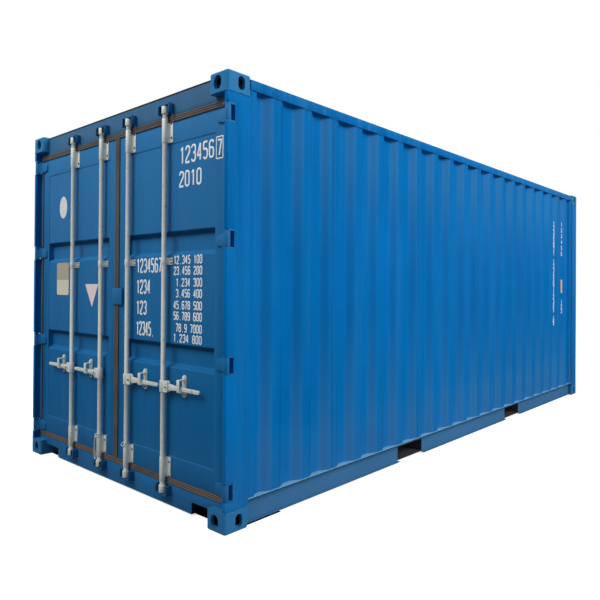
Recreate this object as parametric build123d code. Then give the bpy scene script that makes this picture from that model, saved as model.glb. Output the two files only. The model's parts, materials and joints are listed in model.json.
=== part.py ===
from build123d import *
import os

# A 20 ft dry cargo container, millimetres. +Z is up, the door end faces -Y and the origin is at the
# centre of the footprint, on the plane that the bottom corner castings stand on.

# Outside size
length = 6058.0
width = 2438.0
height = 2591.0

# Corner castings
casting_x = 162.0
casting_y = 178.0
casting_z = 118.0
casting_wall = 22.0
casting_inner_wall = 12.0
casting_plate = 28.0
casting_corner_r = 18.0
casting_edge_r = 12.0
slot_length = 124.5
slot_width = 63.5
end_hole_width = 63.5
side_hole_width = 51.0
hole_height = 79.5
hole_from_side = 89.5
hole_from_end = 102.5

# Posts, rails and header
inset = 4.0
post_wall = 6.0
post_inner_wall = 12.0
rear_post_x = 50.0
rear_post_lip = 27.0
front_post_x = 70.0
rail_size = 60.0
rail_wall = 3.0
rail_drop = 16.0
bottom_rail_z0 = 12.5
bottom_rail_z1 = 162.0
bottom_rail_top_flange = 50.0
bottom_rail_foot = 30.0
bottom_rail_wall = 4.5
header_under = 147.0
header_drop = 8.0
header_depth = 80.0
header_wall = 4.0
gear_recess = 52.0
sill_z0 = 12.5
sill_z1 = 148.0
sill_cut_width = 200.0
sill_cut_z1 = 85.0

# Underframe and floor
floor_top = 162.0
floor_thickness = 28.0
ground_clearance = 12.5
member_flange = 45.0
member_wall = 4.0
member_count = 18
fork_centre = 1025.0
fork_width = 360.0
fork_z0 = 24.0
fork_z1 = 122.0
fork_wall = 4.0
fork_strap = 200.0

# Side walls, front wall and roof sheets
wall_inset = 9.0
wall_depth = 36.0
wall_sheet = 2.0
wall_pitch = 278.0
wall_slope = 68.0
wall_inner_flat = 70.0
wall_lead = 71.0
front_depth = 45.0
front_sheet = 2.0
front_pitch = 250.0
front_slope = 20.0
front_inner_flat = 105.0
front_inset = 12.0
roof_depth = 20.0
roof_sheet = 2.0
roof_pitch = 209.0
roof_slope = 34.0
roof_inner_flat = 70.0
corner_plate_x = 250.0
corner_plate_y = 300.0
corner_plate_t = 3.0

# Doors
leaf_recess = 54.0
leaf_depth = 50.0
leaf_wall = 3.0
leaf_side_gap = 10.0
leaf_end_gap = 15.0
leaf_centre_gap = 10.0
stile_width = 100.0
leaf_rail_height = 155.0
panel_set_back = 4.0
panel_sheet = 2.0
band_depth = 36.0
band_slope = 24.0
band_flat = 102.0
band_count = 2
gasket_lip = 6.0
gasket_band = 38.0
gasket_centre_band = 26.0
gasket_hinge_band = 20.0
gasket_blade_clear = 5.0
gasket_depth = 25.0
seal_gap = 0.3
centre_seal_gap = 0.6

# Hinges
hinge_count = 4
hinge_low = 81.0
hinge_high = 90.0
hinge_barrel_r = 17.5
hinge_pin_r = 8.0
hinge_fit = 0.08
hinge_barrel_height = 88.0
hinge_axial_gap = 1.0
hinge_lug = 10.0
pocket_depth = 56.0
blade_height = 84.0
blade_tip_height = 50.0
blade_tip_drop = 7.0
blade_reach = 120.0
blade_thickness = 10.0
blade_nose_y = 2.0
blade_nose_x = 8.0
blade_shoulder_x = 38.0
blade_shoulder_y = 18.5
blade_heel_x = 37.0
blade_heel_y = 5.0

# Lock gear
bar_x = (-594.0, -175.0, 175.0, 594.0)
bar_out = 29.0
bar_r = 15.5
bar_fit = 0.08
bar_under = 10.0
bar_over = 16.0
claw_r = 22.0
claw_bore_r = 13.0
claw_mouth = 22.0
claw_height = 37.0
claw_disc = 8.0
claw_gap = 5.0
keeper_pin_r = 8.0
keeper_width = 116.0
keeper_height = 62.0
keeper_plate = 8.0
keeper_shelf = 10.0
bracket_r = 18.5
bracket_flange = 50.0
bracket_flange_t = 6.0
end_bracket_height = 149.0
end_bracket_flange = 123.0
mid_bracket_height = 43.0
mid_bracket_drop = 15.0
handle_z = 755.0
handle_reach = 365.0
handle_t = 12.0
handle_root = 40.0
handle_neck = 26.0
handle_pivot_x = 42.0
handle_pin_r = 5.0
handle_fit = 0.06
handle_gap = 0.3
handle_clear = 2.0
handle_chamfer = 8.0
handle_swell = 12.0
handle_taper = 2.0
handle_tip_r = 10.0
hub_height = 70.0
hub_width = 62.0
hub_cheek = 6.0
hub_r = 22.0
hub_gap = 1.0
hub_corner = 10.0
retainer_x = 180.0
retainer_below = 53.0
retainer_above = 82.0
retainer_width = 38.0
retainer_t = 6.0
seat_t = 8.0
seat_reach = 8.0
seat_lip_t = 5.0
seat_lip_height = 12.0
catch_pivot_above = 65.0
catch_pin_r = 5.0
catch_t = 6.0
catch_width = 26.0
catch_drop = 82.0
catch_fit = 0.06
catch_gap = 1.0
catch_clear = 15.0
stud_stand = 4.0
lap_x0 = -41.0
lap_x1 = 83.0
lap_height = 114.0
lap_rise = 11.0
lap_t = 6.0
lap_gap = 5.0
lap_foot = 40.0

# Ventilators
vent_width = 58.0
vent_height = 144.0
vent_depth = 22.0
vent_drop = 78.0

# Places worked out from the sizes
half_l = length / 2
half_w = width / 2
post_out = half_w - inset
post_front = -half_l + inset
post_back = -half_l + casting_y
post_z0 = casting_z
post_z1 = height - casting_z
header_z0 = height - header_under
gear_face = -half_l + gear_recess
leaf_front = -half_l + leaf_recess
leaf_back = leaf_front + leaf_depth
panel_front = leaf_front + panel_set_back
opening_half = post_out - rear_post_x
leaf_out = opening_half - leaf_side_gap
leaf_z0 = sill_z1 + leaf_end_gap
leaf_z1 = header_z0 - leaf_end_gap
panel_z0 = leaf_z0 + leaf_rail_height
panel_z1 = leaf_z1 - leaf_rail_height
band_height = 2 * band_slope + band_flat
panel_field = (panel_z1 - panel_z0 - band_count * band_height) / (band_count + 1)
band_z = [
    panel_z0 + (i + 1) * panel_field + i * band_height for i in range(band_count)
]
lap_z0 = (leaf_z0 + leaf_z1 - lap_height) / 2 + lap_rise
bar_z0 = sill_z1 - bar_under
bar_z1 = header_z0 + bar_over
bar_y = leaf_front - bar_out
hinge_x = post_out - hinge_barrel_r
hinge_y = post_front + hinge_barrel_r
hinge_first = sill_z1 + hinge_low
hinge_step = (header_z0 - hinge_high - hinge_first) / (hinge_count - 1)
hinge_z = [hinge_first + i * hinge_step for i in range(hinge_count)]
pocket_half = hinge_barrel_height / 2 + hinge_axial_gap + hinge_lug
rail_top = height - rail_drop
rail_z0 = rail_top - rail_size
wall_out = half_w - wall_inset
header_top = height - header_drop
header_back = gear_face + header_depth
floor_z0 = floor_top - floor_thickness
front_out = half_l - inset
rail_in = post_out - bottom_rail_top_flange
retainer_z0 = handle_z - retainer_below
retainer_z1 = handle_z + retainer_above
catch_pivot_z = handle_z + catch_pivot_above
vent_top = rail_z0 - vent_drop


def block(x0, x1, y0, y1, z0, z1):
    """A box between two corners, given in any order."""
    size = (abs(x1 - x0), abs(y1 - y0), abs(z1 - z0))
    return Pos((x0 + x1) / 2, (y0 + y1) / 2, (z0 + z1) / 2) * Box(*size)


def prism_x(points, x0, x1):
    """A (y, z) outline carried from x0 to x1."""
    outline = Polyline([(x0, y, z) for y, z in points], close=True)
    return extrude(make_face(outline), amount=x1 - x0, dir=(1, 0, 0))


def prism_y(points, y0, y1):
    """An (x, z) outline carried from y0 to y1."""
    outline = Polyline([(x, y0, z) for x, z in points], close=True)
    return extrude(make_face(outline), amount=y1 - y0, dir=(0, 1, 0))


def prism_z(points, z0, z1):
    """An (x, y) outline carried from z0 to z1."""
    outline = Polyline([(x, y, z0) for x, y in points], close=True)
    return extrude(make_face(outline), amount=z1 - z0, dir=(0, 0, 1))


def rod_z(x, y, z0, z1, radius):
    """An upright round bar."""
    return Pos(x, y, (z0 + z1) / 2) * Cylinder(radius, z1 - z0)


def rod_y(x, z, y0, y1, radius):
    """A round bar along Y."""
    return Pos(x, (y0 + y1) / 2, z) * Rot(90, 0, 0) * Cylinder(radius, abs(y1 - y0))


def flip_x(shape):
    """The same piece on the other side."""
    return mirror(shape, about=Plane.YZ)


def flip_y(shape):
    """The same piece at the other end."""
    return mirror(shape, about=Plane.XZ)


def corrugated(start, end, first, pitch, slope, inner_flat, depth):
    """Points (along, depth) of a trapezoid sheet: the outer face is at 0, the ribs go in by depth."""
    points = [(start, 0.0)]
    place = first
    while place + 2 * slope + inner_flat < end:
        points += [
            (place, 0.0),
            (place + slope, depth),
            (place + slope + inner_flat, depth),
            (place + 2 * slope + inner_flat, 0.0),
        ]
        place += pitch
    return points + [(end, 0.0)]


def sheet(points, thickness):
    """The closed outline of a sheet that follows the points."""
    return points + [(a, d + thickness) for a, d in reversed(points)]


def stadium(long_side, short_side, depth):
    """An upright slot cutter, long side along local Y."""
    return extrude(SlotOverall(long_side, short_side, rotation=90), amount=depth, both=True)


def casting(top):
    """One hollow corner casting at the door end, right side."""
    x0 = half_w - casting_x
    y1 = -half_l + casting_y
    z0 = height - casting_z if top else 0.0
    z1 = z0 + casting_z
    body = block(x0, half_w, -half_l, y1, z0, z1)
    body = fillet(body.edges().filter_by(Axis.Z), casting_corner_r)
    outer = body.faces().sort_by(Axis.Z)[-1 if top else 0]
    body = fillet(outer.edges(), casting_edge_r)
    floor = casting_inner_wall if top else casting_plate
    roof = casting_plate if top else casting_inner_wall
    body -= block(
        x0 + casting_inner_wall,
        half_w - casting_wall,
        -half_l + casting_wall,
        y1 - casting_inner_wall,
        z0 + floor,
        z1 - roof,
    )
    hole_x = half_w - hole_from_side
    hole_y = -half_l + hole_from_end
    plate_z = z1 if top else z0
    body -= Pos(hole_x, hole_y, plate_z) * stadium(slot_length, slot_width, casting_plate + 1)
    upright = stadium(hole_height, end_hole_width, casting_wall + 1)
    body -= Pos(hole_x, -half_l, z0 + casting_z / 2) * Rot(90, 0, 0) * upright
    upright = stadium(hole_height, side_hole_width, casting_wall + 1)
    body -= Pos(half_w, hole_y, z0 + casting_z / 2) * Rot(0, 90, 0) * Rot(0, 0, 90) * upright
    return body


def four_corners(shape):
    """The piece at all four corners."""
    pair = [shape, flip_x(shape)]
    return pair + [flip_y(piece) for piece in pair]


def clear_of_castings(shape):
    """The piece with its corners cut away round the top castings."""
    corner = block(
        half_w - casting_x, half_w, -half_l, -half_l + casting_y, height - casting_z, height
    )
    for piece in four_corners(corner):
        shape -= piece
    return shape


def rear_post():
    """Right door post: a pressed channel with a narrow front lip, backed by a heavier channel."""
    tall = (post_z0, post_z1)
    post = block(opening_half, post_out, post_front, post_back, *tall)
    post -= block(opening_half, post_out - rear_post_lip, post_front, leaf_front, *tall)
    post -= block(opening_half, post_out - post_wall, post_front + post_wall, leaf_front, *tall)
    post -= block(
        opening_half + post_inner_wall,
        post_out - post_wall,
        leaf_front + post_inner_wall,
        post_back - post_wall,
        *tall,
    )
    for z in hinge_z:
        post -= block(
            opening_half,
            post_out,
            post_front,
            post_front + pocket_depth,
            z - pocket_half,
            z + pocket_half,
        )
    return post


def front_post():
    """Right front post: a pressed box."""
    back = half_l - casting_y
    outer = block(post_out - front_post_x, post_out, back, front_out, post_z0, post_z1)
    inner = block(
        post_out - front_post_x + post_wall,
        post_out - post_wall,
        back + post_wall,
        front_out - post_wall,
        post_z0 - 1,
        post_z1 + 1,
    )
    return outer - inner


def hollow_bar_x(x0, x1, y0, y1, z0, z1, wall):
    """A rectangular tube along X, open at its ends."""
    inner = block(x0 - 1, x1 + 1, y0 + wall, y1 - wall, z0 + wall, z1 - wall)
    return block(x0, x1, y0, y1, z0, z1) - inner


def door_header():
    """The box beam over the doors, notched under the top castings."""
    x1 = opening_half
    beam = hollow_bar_x(-x1, x1, gear_face, header_back, header_z0, header_top, header_wall)
    notch = block(half_w - casting_x, half_w, -half_l, post_back, post_z1, height)
    return beam - notch - flip_x(notch)


def door_sill():
    """The box beam under the doors, with a boxed cut-out beside each casting."""
    x1 = opening_half
    beam = hollow_bar_x(-x1, x1, gear_face, header_back, sill_z0, sill_z1, header_wall)
    casting_in = half_w - casting_x
    notch = block(casting_in, half_w, -half_l, post_back, 0, post_z0)
    cut_x0 = casting_in - sill_cut_width
    cut = block(cut_x0, casting_in, gear_face, header_back, sill_z0, sill_cut_z1)
    liner = block(
        cut_x0 - header_wall,
        casting_in,
        gear_face,
        header_back,
        sill_z0,
        sill_cut_z1 + header_wall,
    )
    beam += [liner, flip_x(liner)]
    beam -= [cut, flip_x(cut)]
    return beam - notch - flip_x(notch)


def front_top_rail():
    """The square tube over the front wall, between the top castings."""
    x1 = half_w - casting_x
    return hollow_bar_x(-x1, x1, front_out - rail_size, front_out, rail_z0, rail_top, rail_wall)


def front_bottom_rail():
    """The channel under the front wall, between the bottom castings."""
    x1 = half_w - casting_x
    z0, z1 = bottom_rail_z0, bottom_rail_z1
    y0 = front_out - rail_size
    outer = block(-x1, x1, y0, front_out, z0, z1)
    wall = bottom_rail_wall
    return outer - block(-x1 - 1, x1 + 1, y0 - 1, front_out - wall, z0 + wall, z1 - wall)


def top_rail():
    """Right top side rail: a square tube between the top castings."""
    y1 = half_l - casting_y
    outer = block(post_out - rail_size, post_out, -y1, y1, rail_z0, rail_top)
    inner = block(
        post_out - rail_size + rail_wall,
        post_out - rail_wall,
        -y1 - 1,
        y1 + 1,
        rail_z0 + rail_wall,
        rail_top - rail_wall,
    )
    return outer - inner


def bottom_rail():
    """Right bottom side rail: a channel open outwards, its web and foot cut for the fork pockets."""
    y1 = half_l - casting_y
    z0, z1 = bottom_rail_z0, bottom_rail_z1
    wall = bottom_rail_wall
    rail = block(rail_in, rail_in + wall, -y1, y1, z0, z1)
    rail += block(rail_in, post_out, -y1, y1, z1 - wall, z1)
    rail += block(rail_in, rail_in + bottom_rail_foot, -y1, y1, z0, z0 + wall)
    for centre in (-fork_centre, fork_centre):
        half = fork_width / 2 + fork_wall
        rail -= block(rail_in, post_out, centre - half, centre + half, z0, fork_z1 + fork_wall)
    return rail


def side_wall():
    """Right side wall: upright trapezoid corrugations pressed inwards."""
    y1 = half_l - casting_y
    points = corrugated(
        -y1, y1, -y1 + wall_lead, wall_pitch, wall_slope, wall_inner_flat, wall_depth
    )
    outline = [(wall_out - d, a) for a, d in sheet(points, wall_sheet)]
    return prism_z(outline, bottom_rail_z1, rail_z0)


def front_wall():
    """The blind end: deeper corrugations between the front posts."""
    x1 = post_out - front_post_x
    ribs = int((2 * x1 - front_pitch) // front_pitch) + 1
    span = (ribs - 1) * front_pitch + 2 * front_slope + front_inner_flat
    points = corrugated(
        -x1, x1, -span / 2, front_pitch, front_slope, front_inner_flat, front_depth
    )
    face = front_out - front_inset
    outline = [(a, face - d) for a, d in sheet(points, front_sheet)]
    wall = prism_z(outline, bottom_rail_z1, rail_z0)
    return clear_of_castings(wall)


def roof():
    """The roof sheet: shallow corrugations across, between the top rails."""
    y0 = header_back
    y1 = front_out - rail_size
    ribs = int((y1 - y0 - roof_pitch) // roof_pitch) + 1
    span = (ribs - 1) * roof_pitch + 2 * roof_slope + roof_inner_flat
    first = (y0 + y1 - span) / 2
    points = corrugated(
        y0, y1, first, roof_pitch, roof_slope, roof_inner_flat, roof_depth
    )
    top = header_top
    outline = [(a, top - d) for a, d in sheet(points, roof_sheet)]
    x1 = post_out - rail_size
    return clear_of_castings(prism_x(outline, -x1, x1))


def roof_corner_plate():
    """The guard plate on the roof beside the right door-end casting."""
    x1 = half_w - casting_x
    y0 = gear_face
    top = header_top + corner_plate_t
    return block(x1 - corner_plate_x, x1, y0, y0 + corner_plate_y, header_top, top)


def cross_member(y):
    """One pressed channel under the floor, its web on the door side."""
    z0, z1 = ground_clearance, floor_z0
    wall = member_wall
    web = block(-rail_in, rail_in, y, y + wall, z0, z1)
    top = block(-rail_in, rail_in, y, y + member_flange, z1 - wall, z1)
    foot = block(-rail_in, rail_in, y, y + member_flange, z0, z0 + wall)
    return web + top + foot


def member_places():
    """Where the cross members stand: even steps, leaving the fork pockets free."""
    first = header_back
    last = front_out - rail_size - member_flange
    step = (last - first) / (member_count + 1)
    places = [first + step * (i + 1) for i in range(member_count)]
    half = fork_width / 2 + fork_wall
    free = []
    for y in places:
        clear = all(
            y + member_flange < centre - half or y > centre + half
            for centre in (-fork_centre, fork_centre)
        )
        if clear:
            free.append(y)
    return free


def fork_pocket(centre):
    """A tunnel across the underframe for a fork: two side plates, a roof plate and two end straps."""
    half = fork_width / 2
    x1 = rail_in + bottom_rail_wall
    low, high = fork_z0 - fork_wall, fork_z1 + fork_wall
    plates = [block(-x1, x1, centre - half, centre + half, fork_z1, high)]
    for side in (-1, 1):
        inner, outer = centre + side * half, centre + side * (half + fork_wall)
        plates.append(block(-x1, x1, inner, outer, low, high))
        end, inboard = side * x1, side * (x1 - fork_strap)
        plates.append(block(inboard, end, centre - half, centre + half, low, fork_z0))
    return plates


def floor_boards():
    """The plywood floor, resting on the cross members between the side rails."""
    y1 = front_out - rail_size
    floor = block(-rail_in, rail_in, header_back, y1, floor_z0, floor_top)
    post_in = post_out - front_post_x
    notch = block(post_in, rail_in, half_l - casting_y, y1, floor_z0, floor_top)
    return floor - notch - flip_x(notch)


def cam_keeper(x, top):
    """A keeper on the header or the sill: a shelf, two cheeks and the pin that a claw grips."""
    claw_z0 = bar_z1 + claw_disc if top else bar_z0 - claw_disc - claw_height
    claw_z1 = claw_z0 + claw_height
    half = keeper_width / 2
    front = bar_y - bar_r
    if top:
        shelf_z0 = claw_z1 + claw_gap
        plate_z1 = shelf_z0 + keeper_shelf
        plate_z0 = plate_z1 - keeper_height
        pin_z0, pin_z1 = claw_z0 + claw_gap, shelf_z0
    else:
        shelf_z0 = claw_z0 - claw_gap - keeper_shelf
        plate_z0 = shelf_z0
        plate_z1 = plate_z0 + keeper_height
        pin_z0, pin_z1 = shelf_z0 + keeper_shelf, claw_z1 - claw_gap
    back = gear_face
    shelf = block(x - half, x + half, back, front, shelf_z0, shelf_z0 + keeper_shelf)
    keeper = shelf + rod_z(x, bar_y, pin_z0, pin_z1, keeper_pin_r)
    for side in (-1, 1):
        cheek_x0 = x + side * (half - keeper_plate)
        keeper += block(cheek_x0, x + side * half, front, back, plate_z0, plate_z1)
    return keeper


def hinge_lugs():
    """The two lugs and the pin of each right hinge, seated in the post's pockets."""
    pieces = []
    for z in hinge_z:
        inner = hinge_barrel_height / 2 + hinge_axial_gap
        x0 = opening_half + post_wall
        y1 = post_front + pocket_depth
        for side in (-1, 1):
            lug = block(x0, hinge_x, post_front, y1, z + side * inner, z + side * pocket_half)
            lug += block(hinge_x, post_out, hinge_y, y1, z + side * inner, z + side * pocket_half)
            z0, z1 = sorted((z + side * inner, z + side * pocket_half))
            lug += rod_z(hinge_x, hinge_y, z0, z1, hinge_barrel_r)
            pieces.append(lug)
        pin = rod_z(hinge_x, hinge_y, z - inner, z + inner, hinge_pin_r)
        pieces[-1] = pieces[-1] + pin + pieces[-2]
        del pieces[-2]
    return pieces


def door_frame():
    """Right leaf frame: two tube stiles and two channel rails, open behind the panel."""
    x0, x1 = leaf_centre_gap, leaf_out
    outer = block(x0, x1, leaf_front, leaf_back, leaf_z0, leaf_z1)
    window = block(
        x0 + stile_width,
        x1 - stile_width,
        leaf_front - 1,
        leaf_back + 1,
        panel_z0,
        panel_z1,
    )
    frame = outer - window
    w = leaf_wall
    y0, y1 = leaf_front + w, leaf_back - w
    for sx0 in (x0, x1 - stile_width):
        frame -= block(sx0 + w, sx0 + stile_width - w, y0, y1, leaf_z0 + w, leaf_z1 - w)
    for sz0 in (leaf_z0, panel_z1):
        frame -= block(
            x0 + stile_width + w,
            x1 - stile_width - w,
            y0,
            leaf_back + 1,
            sz0 + w,
            sz0 + leaf_rail_height - w,
        )
    return frame


def door_panel():
    """Right leaf panel: one sheet with level bands pressed inwards."""
    points = [(panel_z0, 0.0)]
    for z in band_z:
        points += [
            (z, 0.0),
            (z + band_slope, band_depth),
            (z + band_slope + band_flat, band_depth),
            (z + band_height, 0.0),
        ]
    points.append((panel_z1, 0.0))
    outline = [(panel_front + d, a) for a, d in sheet(points, panel_sheet)]
    return prism_x(outline, leaf_centre_gap + stile_width, leaf_out - stile_width)


def door_gasket():
    """Right leaf seal: a rubber ring round the leaf, with a lip over its front, cut at the blades."""
    x0, x1 = centre_seal_gap, opening_half - seal_gap
    z0, z1 = sill_z1 + seal_gap, header_z0 - seal_gap
    front, back = leaf_front - gasket_lip, leaf_front + gasket_depth
    ring = block(x0, x1, front, back, z0, z1)
    ring -= block(leaf_centre_gap, leaf_out, leaf_front, back, leaf_z0, leaf_z1)
    ring -= block(
        x0 + gasket_centre_band,
        x1 - gasket_hinge_band,
        front,
        leaf_front,
        sill_z1 + gasket_band,
        header_z0 - gasket_band,
    )
    cut = hinge_barrel_height / 2 + gasket_blade_clear
    for z in hinge_z:
        ring -= block(leaf_out - gasket_hinge_band, x1, front, leaf_front, z - cut, z + cut)
    return ring


def hinge_blades():
    """The forged blades of the right leaf, each with its barrel."""
    points = [
        (hinge_x, post_front),
        (hinge_x - blade_nose_x, post_front + blade_nose_y),
        (hinge_x - blade_shoulder_x, hinge_y + blade_shoulder_y),
        (hinge_x - blade_reach, leaf_front - blade_thickness),
        (hinge_x - blade_reach, leaf_front),
        (leaf_out, leaf_front),
        (hinge_x - blade_heel_x, leaf_front - blade_heel_y),
        (hinge_x, hinge_y + hinge_barrel_r),
    ]
    root = hinge_x - blade_shoulder_x
    tip = hinge_x - blade_reach
    tip_z0 = -blade_tip_drop - blade_tip_height / 2
    outline = [
        (hinge_x, -blade_height / 2),
        (root, -blade_height / 2),
        (tip, tip_z0),
        (tip, tip_z0 + blade_tip_height),
        (root, blade_height / 2),
        (hinge_x, blade_height / 2),
    ]
    pieces = []
    for z in hinge_z:
        blade = prism_z(points, z - blade_height / 2, z + blade_height / 2)
        blade &= prism_y([(x, z + dz) for x, dz in outline], post_front, leaf_front)
        low, high = z - hinge_barrel_height / 2, z + hinge_barrel_height / 2
        blade += rod_z(hinge_x, hinge_y, low, high, hinge_barrel_r)
        blade -= rod_z(hinge_x, hinge_y, low - 1, high + 1, hinge_pin_r + hinge_fit)
        pieces.append(blade)
    return pieces


def bar_bracket(x, z0, z1, flange_z0, flange_z1, seat):
    """A guide for a lock bar: a sleeve round the bar and a flange on its right side."""
    sleeve = rod_z(x, bar_y, z0, z1, bracket_r)
    base = block(x - bracket_r, x + bracket_r, bar_y, seat, flange_z0, flange_z1)
    flange = block(x, x + bracket_flange, seat - bracket_flange_t, seat, flange_z0, flange_z1)
    bracket = sleeve + base + flange
    return bracket - rod_z(x, bar_y, z0 - 1, z1 + 1, bar_r + bar_fit)


def bar_brackets(xs):
    """Top, middle and bottom guides of the bars on one leaf."""
    pieces = []
    for x in xs:
        high = leaf_z1 - 1
        pieces.append(
            bar_bracket(
                x,
                high - end_bracket_height,
                high,
                high - end_bracket_height + 1,
                high - end_bracket_height + end_bracket_flange,
                leaf_front,
            )
        )
        low = leaf_z0 + 1
        pieces.append(
            bar_bracket(
                x,
                low,
                low + end_bracket_height,
                low + end_bracket_height - end_bracket_flange,
                low + end_bracket_height - 1,
                leaf_front,
            )
        )
        mid_z1 = band_z[-1] - mid_bracket_drop
        mid = (mid_z1 - mid_bracket_height, mid_z1)
        pieces.append(bar_bracket(x, *mid, *mid, panel_front))
    return pieces


def claw(x, z0, z1, mouth):
    """A C-shaped claw round the keeper's pin, its mouth towards +X or -X."""
    ring = rod_z(x, bar_y, z0, z1, claw_r) - rod_z(x, bar_y, z0 - 1, z1 + 1, claw_bore_r)
    return ring - block(
        x, x + mouth * (claw_r + 1), bar_y - claw_mouth / 2, bar_y + claw_mouth / 2, z0 - 1, z1 + 1
    )


def lock_bar(x):
    """One upright lock bar with a claw at each end and the hub of its handle."""
    out = 1 if x > 0 else -1
    bar = rod_z(x, bar_y, bar_z0, bar_z1, bar_r)
    bar += rod_z(x, bar_y, bar_z1, bar_z1 + claw_disc, claw_r)
    bar += rod_z(x, bar_y, bar_z0 - claw_disc, bar_z0, claw_r)
    top = bar_z1 + claw_disc
    bottom = bar_z0 - claw_disc
    bar += claw(x, top, top + claw_height, -out)
    bar += claw(x, bottom - claw_height, bottom, -out)
    cheek_y = handle_t / 2 + hub_gap
    half = hub_height / 2
    bar += rod_z(x, bar_y, handle_z - half, handle_z + half, hub_r)
    cheek = [
        (x, handle_z - half),
        (x + out * (hub_width - hub_corner), handle_z - half),
        (x + out * hub_width, handle_z - half + hub_corner),
        (x + out * hub_width, handle_z + half - hub_corner),
        (x + out * (hub_width - hub_corner), handle_z + half),
        (x, handle_z + half),
    ]
    for side in (-1, 1):
        bar += prism_y(cheek, bar_y + side * cheek_y, bar_y + side * (cheek_y + hub_cheek))
    reach = cheek_y + hub_cheek + 1
    hole = rod_y(
        x + out * handle_pivot_x, handle_z, bar_y - reach, bar_y + reach, handle_pin_r
    )
    return bar - hole


def handle(x):
    """A flat handle with its pivot pin, tapering to a rounded grip."""
    out = 1 if x > 0 else -1
    pivot = x + out * handle_pivot_x
    root = hub_r + handle_clear
    swell = hub_width + handle_swell
    neck = retainer_x - retainer_width
    tip = handle_reach
    points = [
        (x + out * root, handle_z - handle_neck / 2),
        (x + out * (root + handle_chamfer), handle_z - handle_root / 2),
        (x + out * swell, handle_z - handle_root / 2),
        (x + out * neck, handle_z - handle_neck / 2),
        (x + out * tip, handle_z - handle_neck / 2 + handle_taper),
        (x + out * tip, handle_z + handle_neck / 2 - handle_taper),
        (x + out * neck, handle_z + handle_neck / 2),
        (x + out * swell, handle_z + handle_root / 2),
        (x + out * (root + handle_chamfer), handle_z + handle_root / 2),
        (x + out * root, handle_z + handle_neck / 2),
    ]
    grip = prism_y(points, bar_y - handle_t / 2, bar_y + handle_t / 2)
    ends = grip.edges().filter_by(Axis.Y).sort_by(Axis.X)
    grip = fillet(ends[-2:] if out > 0 else ends[:2], handle_tip_r)
    reach = handle_t / 2 + hub_gap + hub_cheek
    pin_r = handle_pin_r - handle_fit
    return grip + rod_y(pivot, handle_z, bar_y - reach, bar_y + reach, pin_r)


def retainer(x):
    """The seat of a handle: a plate with rounded ears and a lipped shelf under the handle."""
    out = 1 if x > 0 else -1
    centre = x + out * retainer_x
    half = retainer_width / 2
    seat_z = handle_z - handle_neck / 2 - handle_gap
    back, front = panel_front, panel_front - retainer_t
    plate = block(
        centre - half, centre + half, front, back, retainer_z0 + half, retainer_z1 - half
    )
    plate += rod_y(centre, retainer_z0 + half, front, back, half)
    plate += rod_y(centre, retainer_z1 - half, front, back, half)
    shelf_front = bar_y - handle_t / 2 - seat_reach
    lip_back = shelf_front + seat_lip_t
    lip_top = seat_z + seat_lip_height
    plate += block(centre - half, centre + half, shelf_front, front, seat_z - seat_t, seat_z)
    plate += block(centre - half, centre + half, shelf_front, lip_back, seat_z, lip_top)
    stud_front = front - catch_t - stud_stand
    return plate + rod_y(centre, catch_pivot_z, stud_front, front, catch_pin_r)


def catch(x):
    """The catch that hangs in front of a handle, stepping out from its stud."""
    out = 1 if x > 0 else -1
    centre = x + out * retainer_x
    half = catch_width / 2
    x0, x1 = centre - half, centre + half
    back = panel_front - retainer_t - catch_gap
    eye_front = back - catch_t
    front = bar_y - handle_t / 2 - catch_clear
    z = catch_pivot_z
    step_z0 = z - half - 1
    step_z1 = step_z0 + catch_t
    eye = rod_y(centre, z, eye_front, back, half)
    eye += block(x0, x1, eye_front, back, step_z0, z)
    eye += block(x0, x1, front, back, step_z0, step_z1)
    eye += block(x0, x1, front, front + catch_t, z - catch_drop, step_z1)
    return eye - rod_y(centre, z, eye_front - 1, back + 1, catch_pin_r + catch_fit)


def lap_plate():
    """The plate on the right leaf that laps the left leaf at mid height."""
    front = leaf_front - gasket_lip - lap_gap - lap_t
    lap_z1 = lap_z0 + lap_height
    plate = block(lap_x0, lap_x1, front, front + lap_t, lap_z0, lap_z1)
    foot = block(lap_x1 - lap_foot, lap_x1, front, leaf_front, lap_z0, lap_z1)
    return plate + foot


def ventilator():
    """The right ventilator hood, in the last rib of the side wall."""
    y1 = half_l - casting_y
    ribs = int((2 * y1 - wall_lead - 2 * wall_slope - wall_inner_flat) // wall_pitch)
    y = -y1 + wall_lead + ribs * wall_pitch + wall_slope + wall_inner_flat / 2
    x = wall_out - wall_depth
    hood = block(
        x, x + vent_depth, y - vent_width / 2, y + vent_width / 2, vent_top - vent_height, vent_top
    )
    return fillet(hood.edges().filter_by(Axis.Z).sort_by(Axis.X)[-2:], vent_depth / 3)


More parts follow.
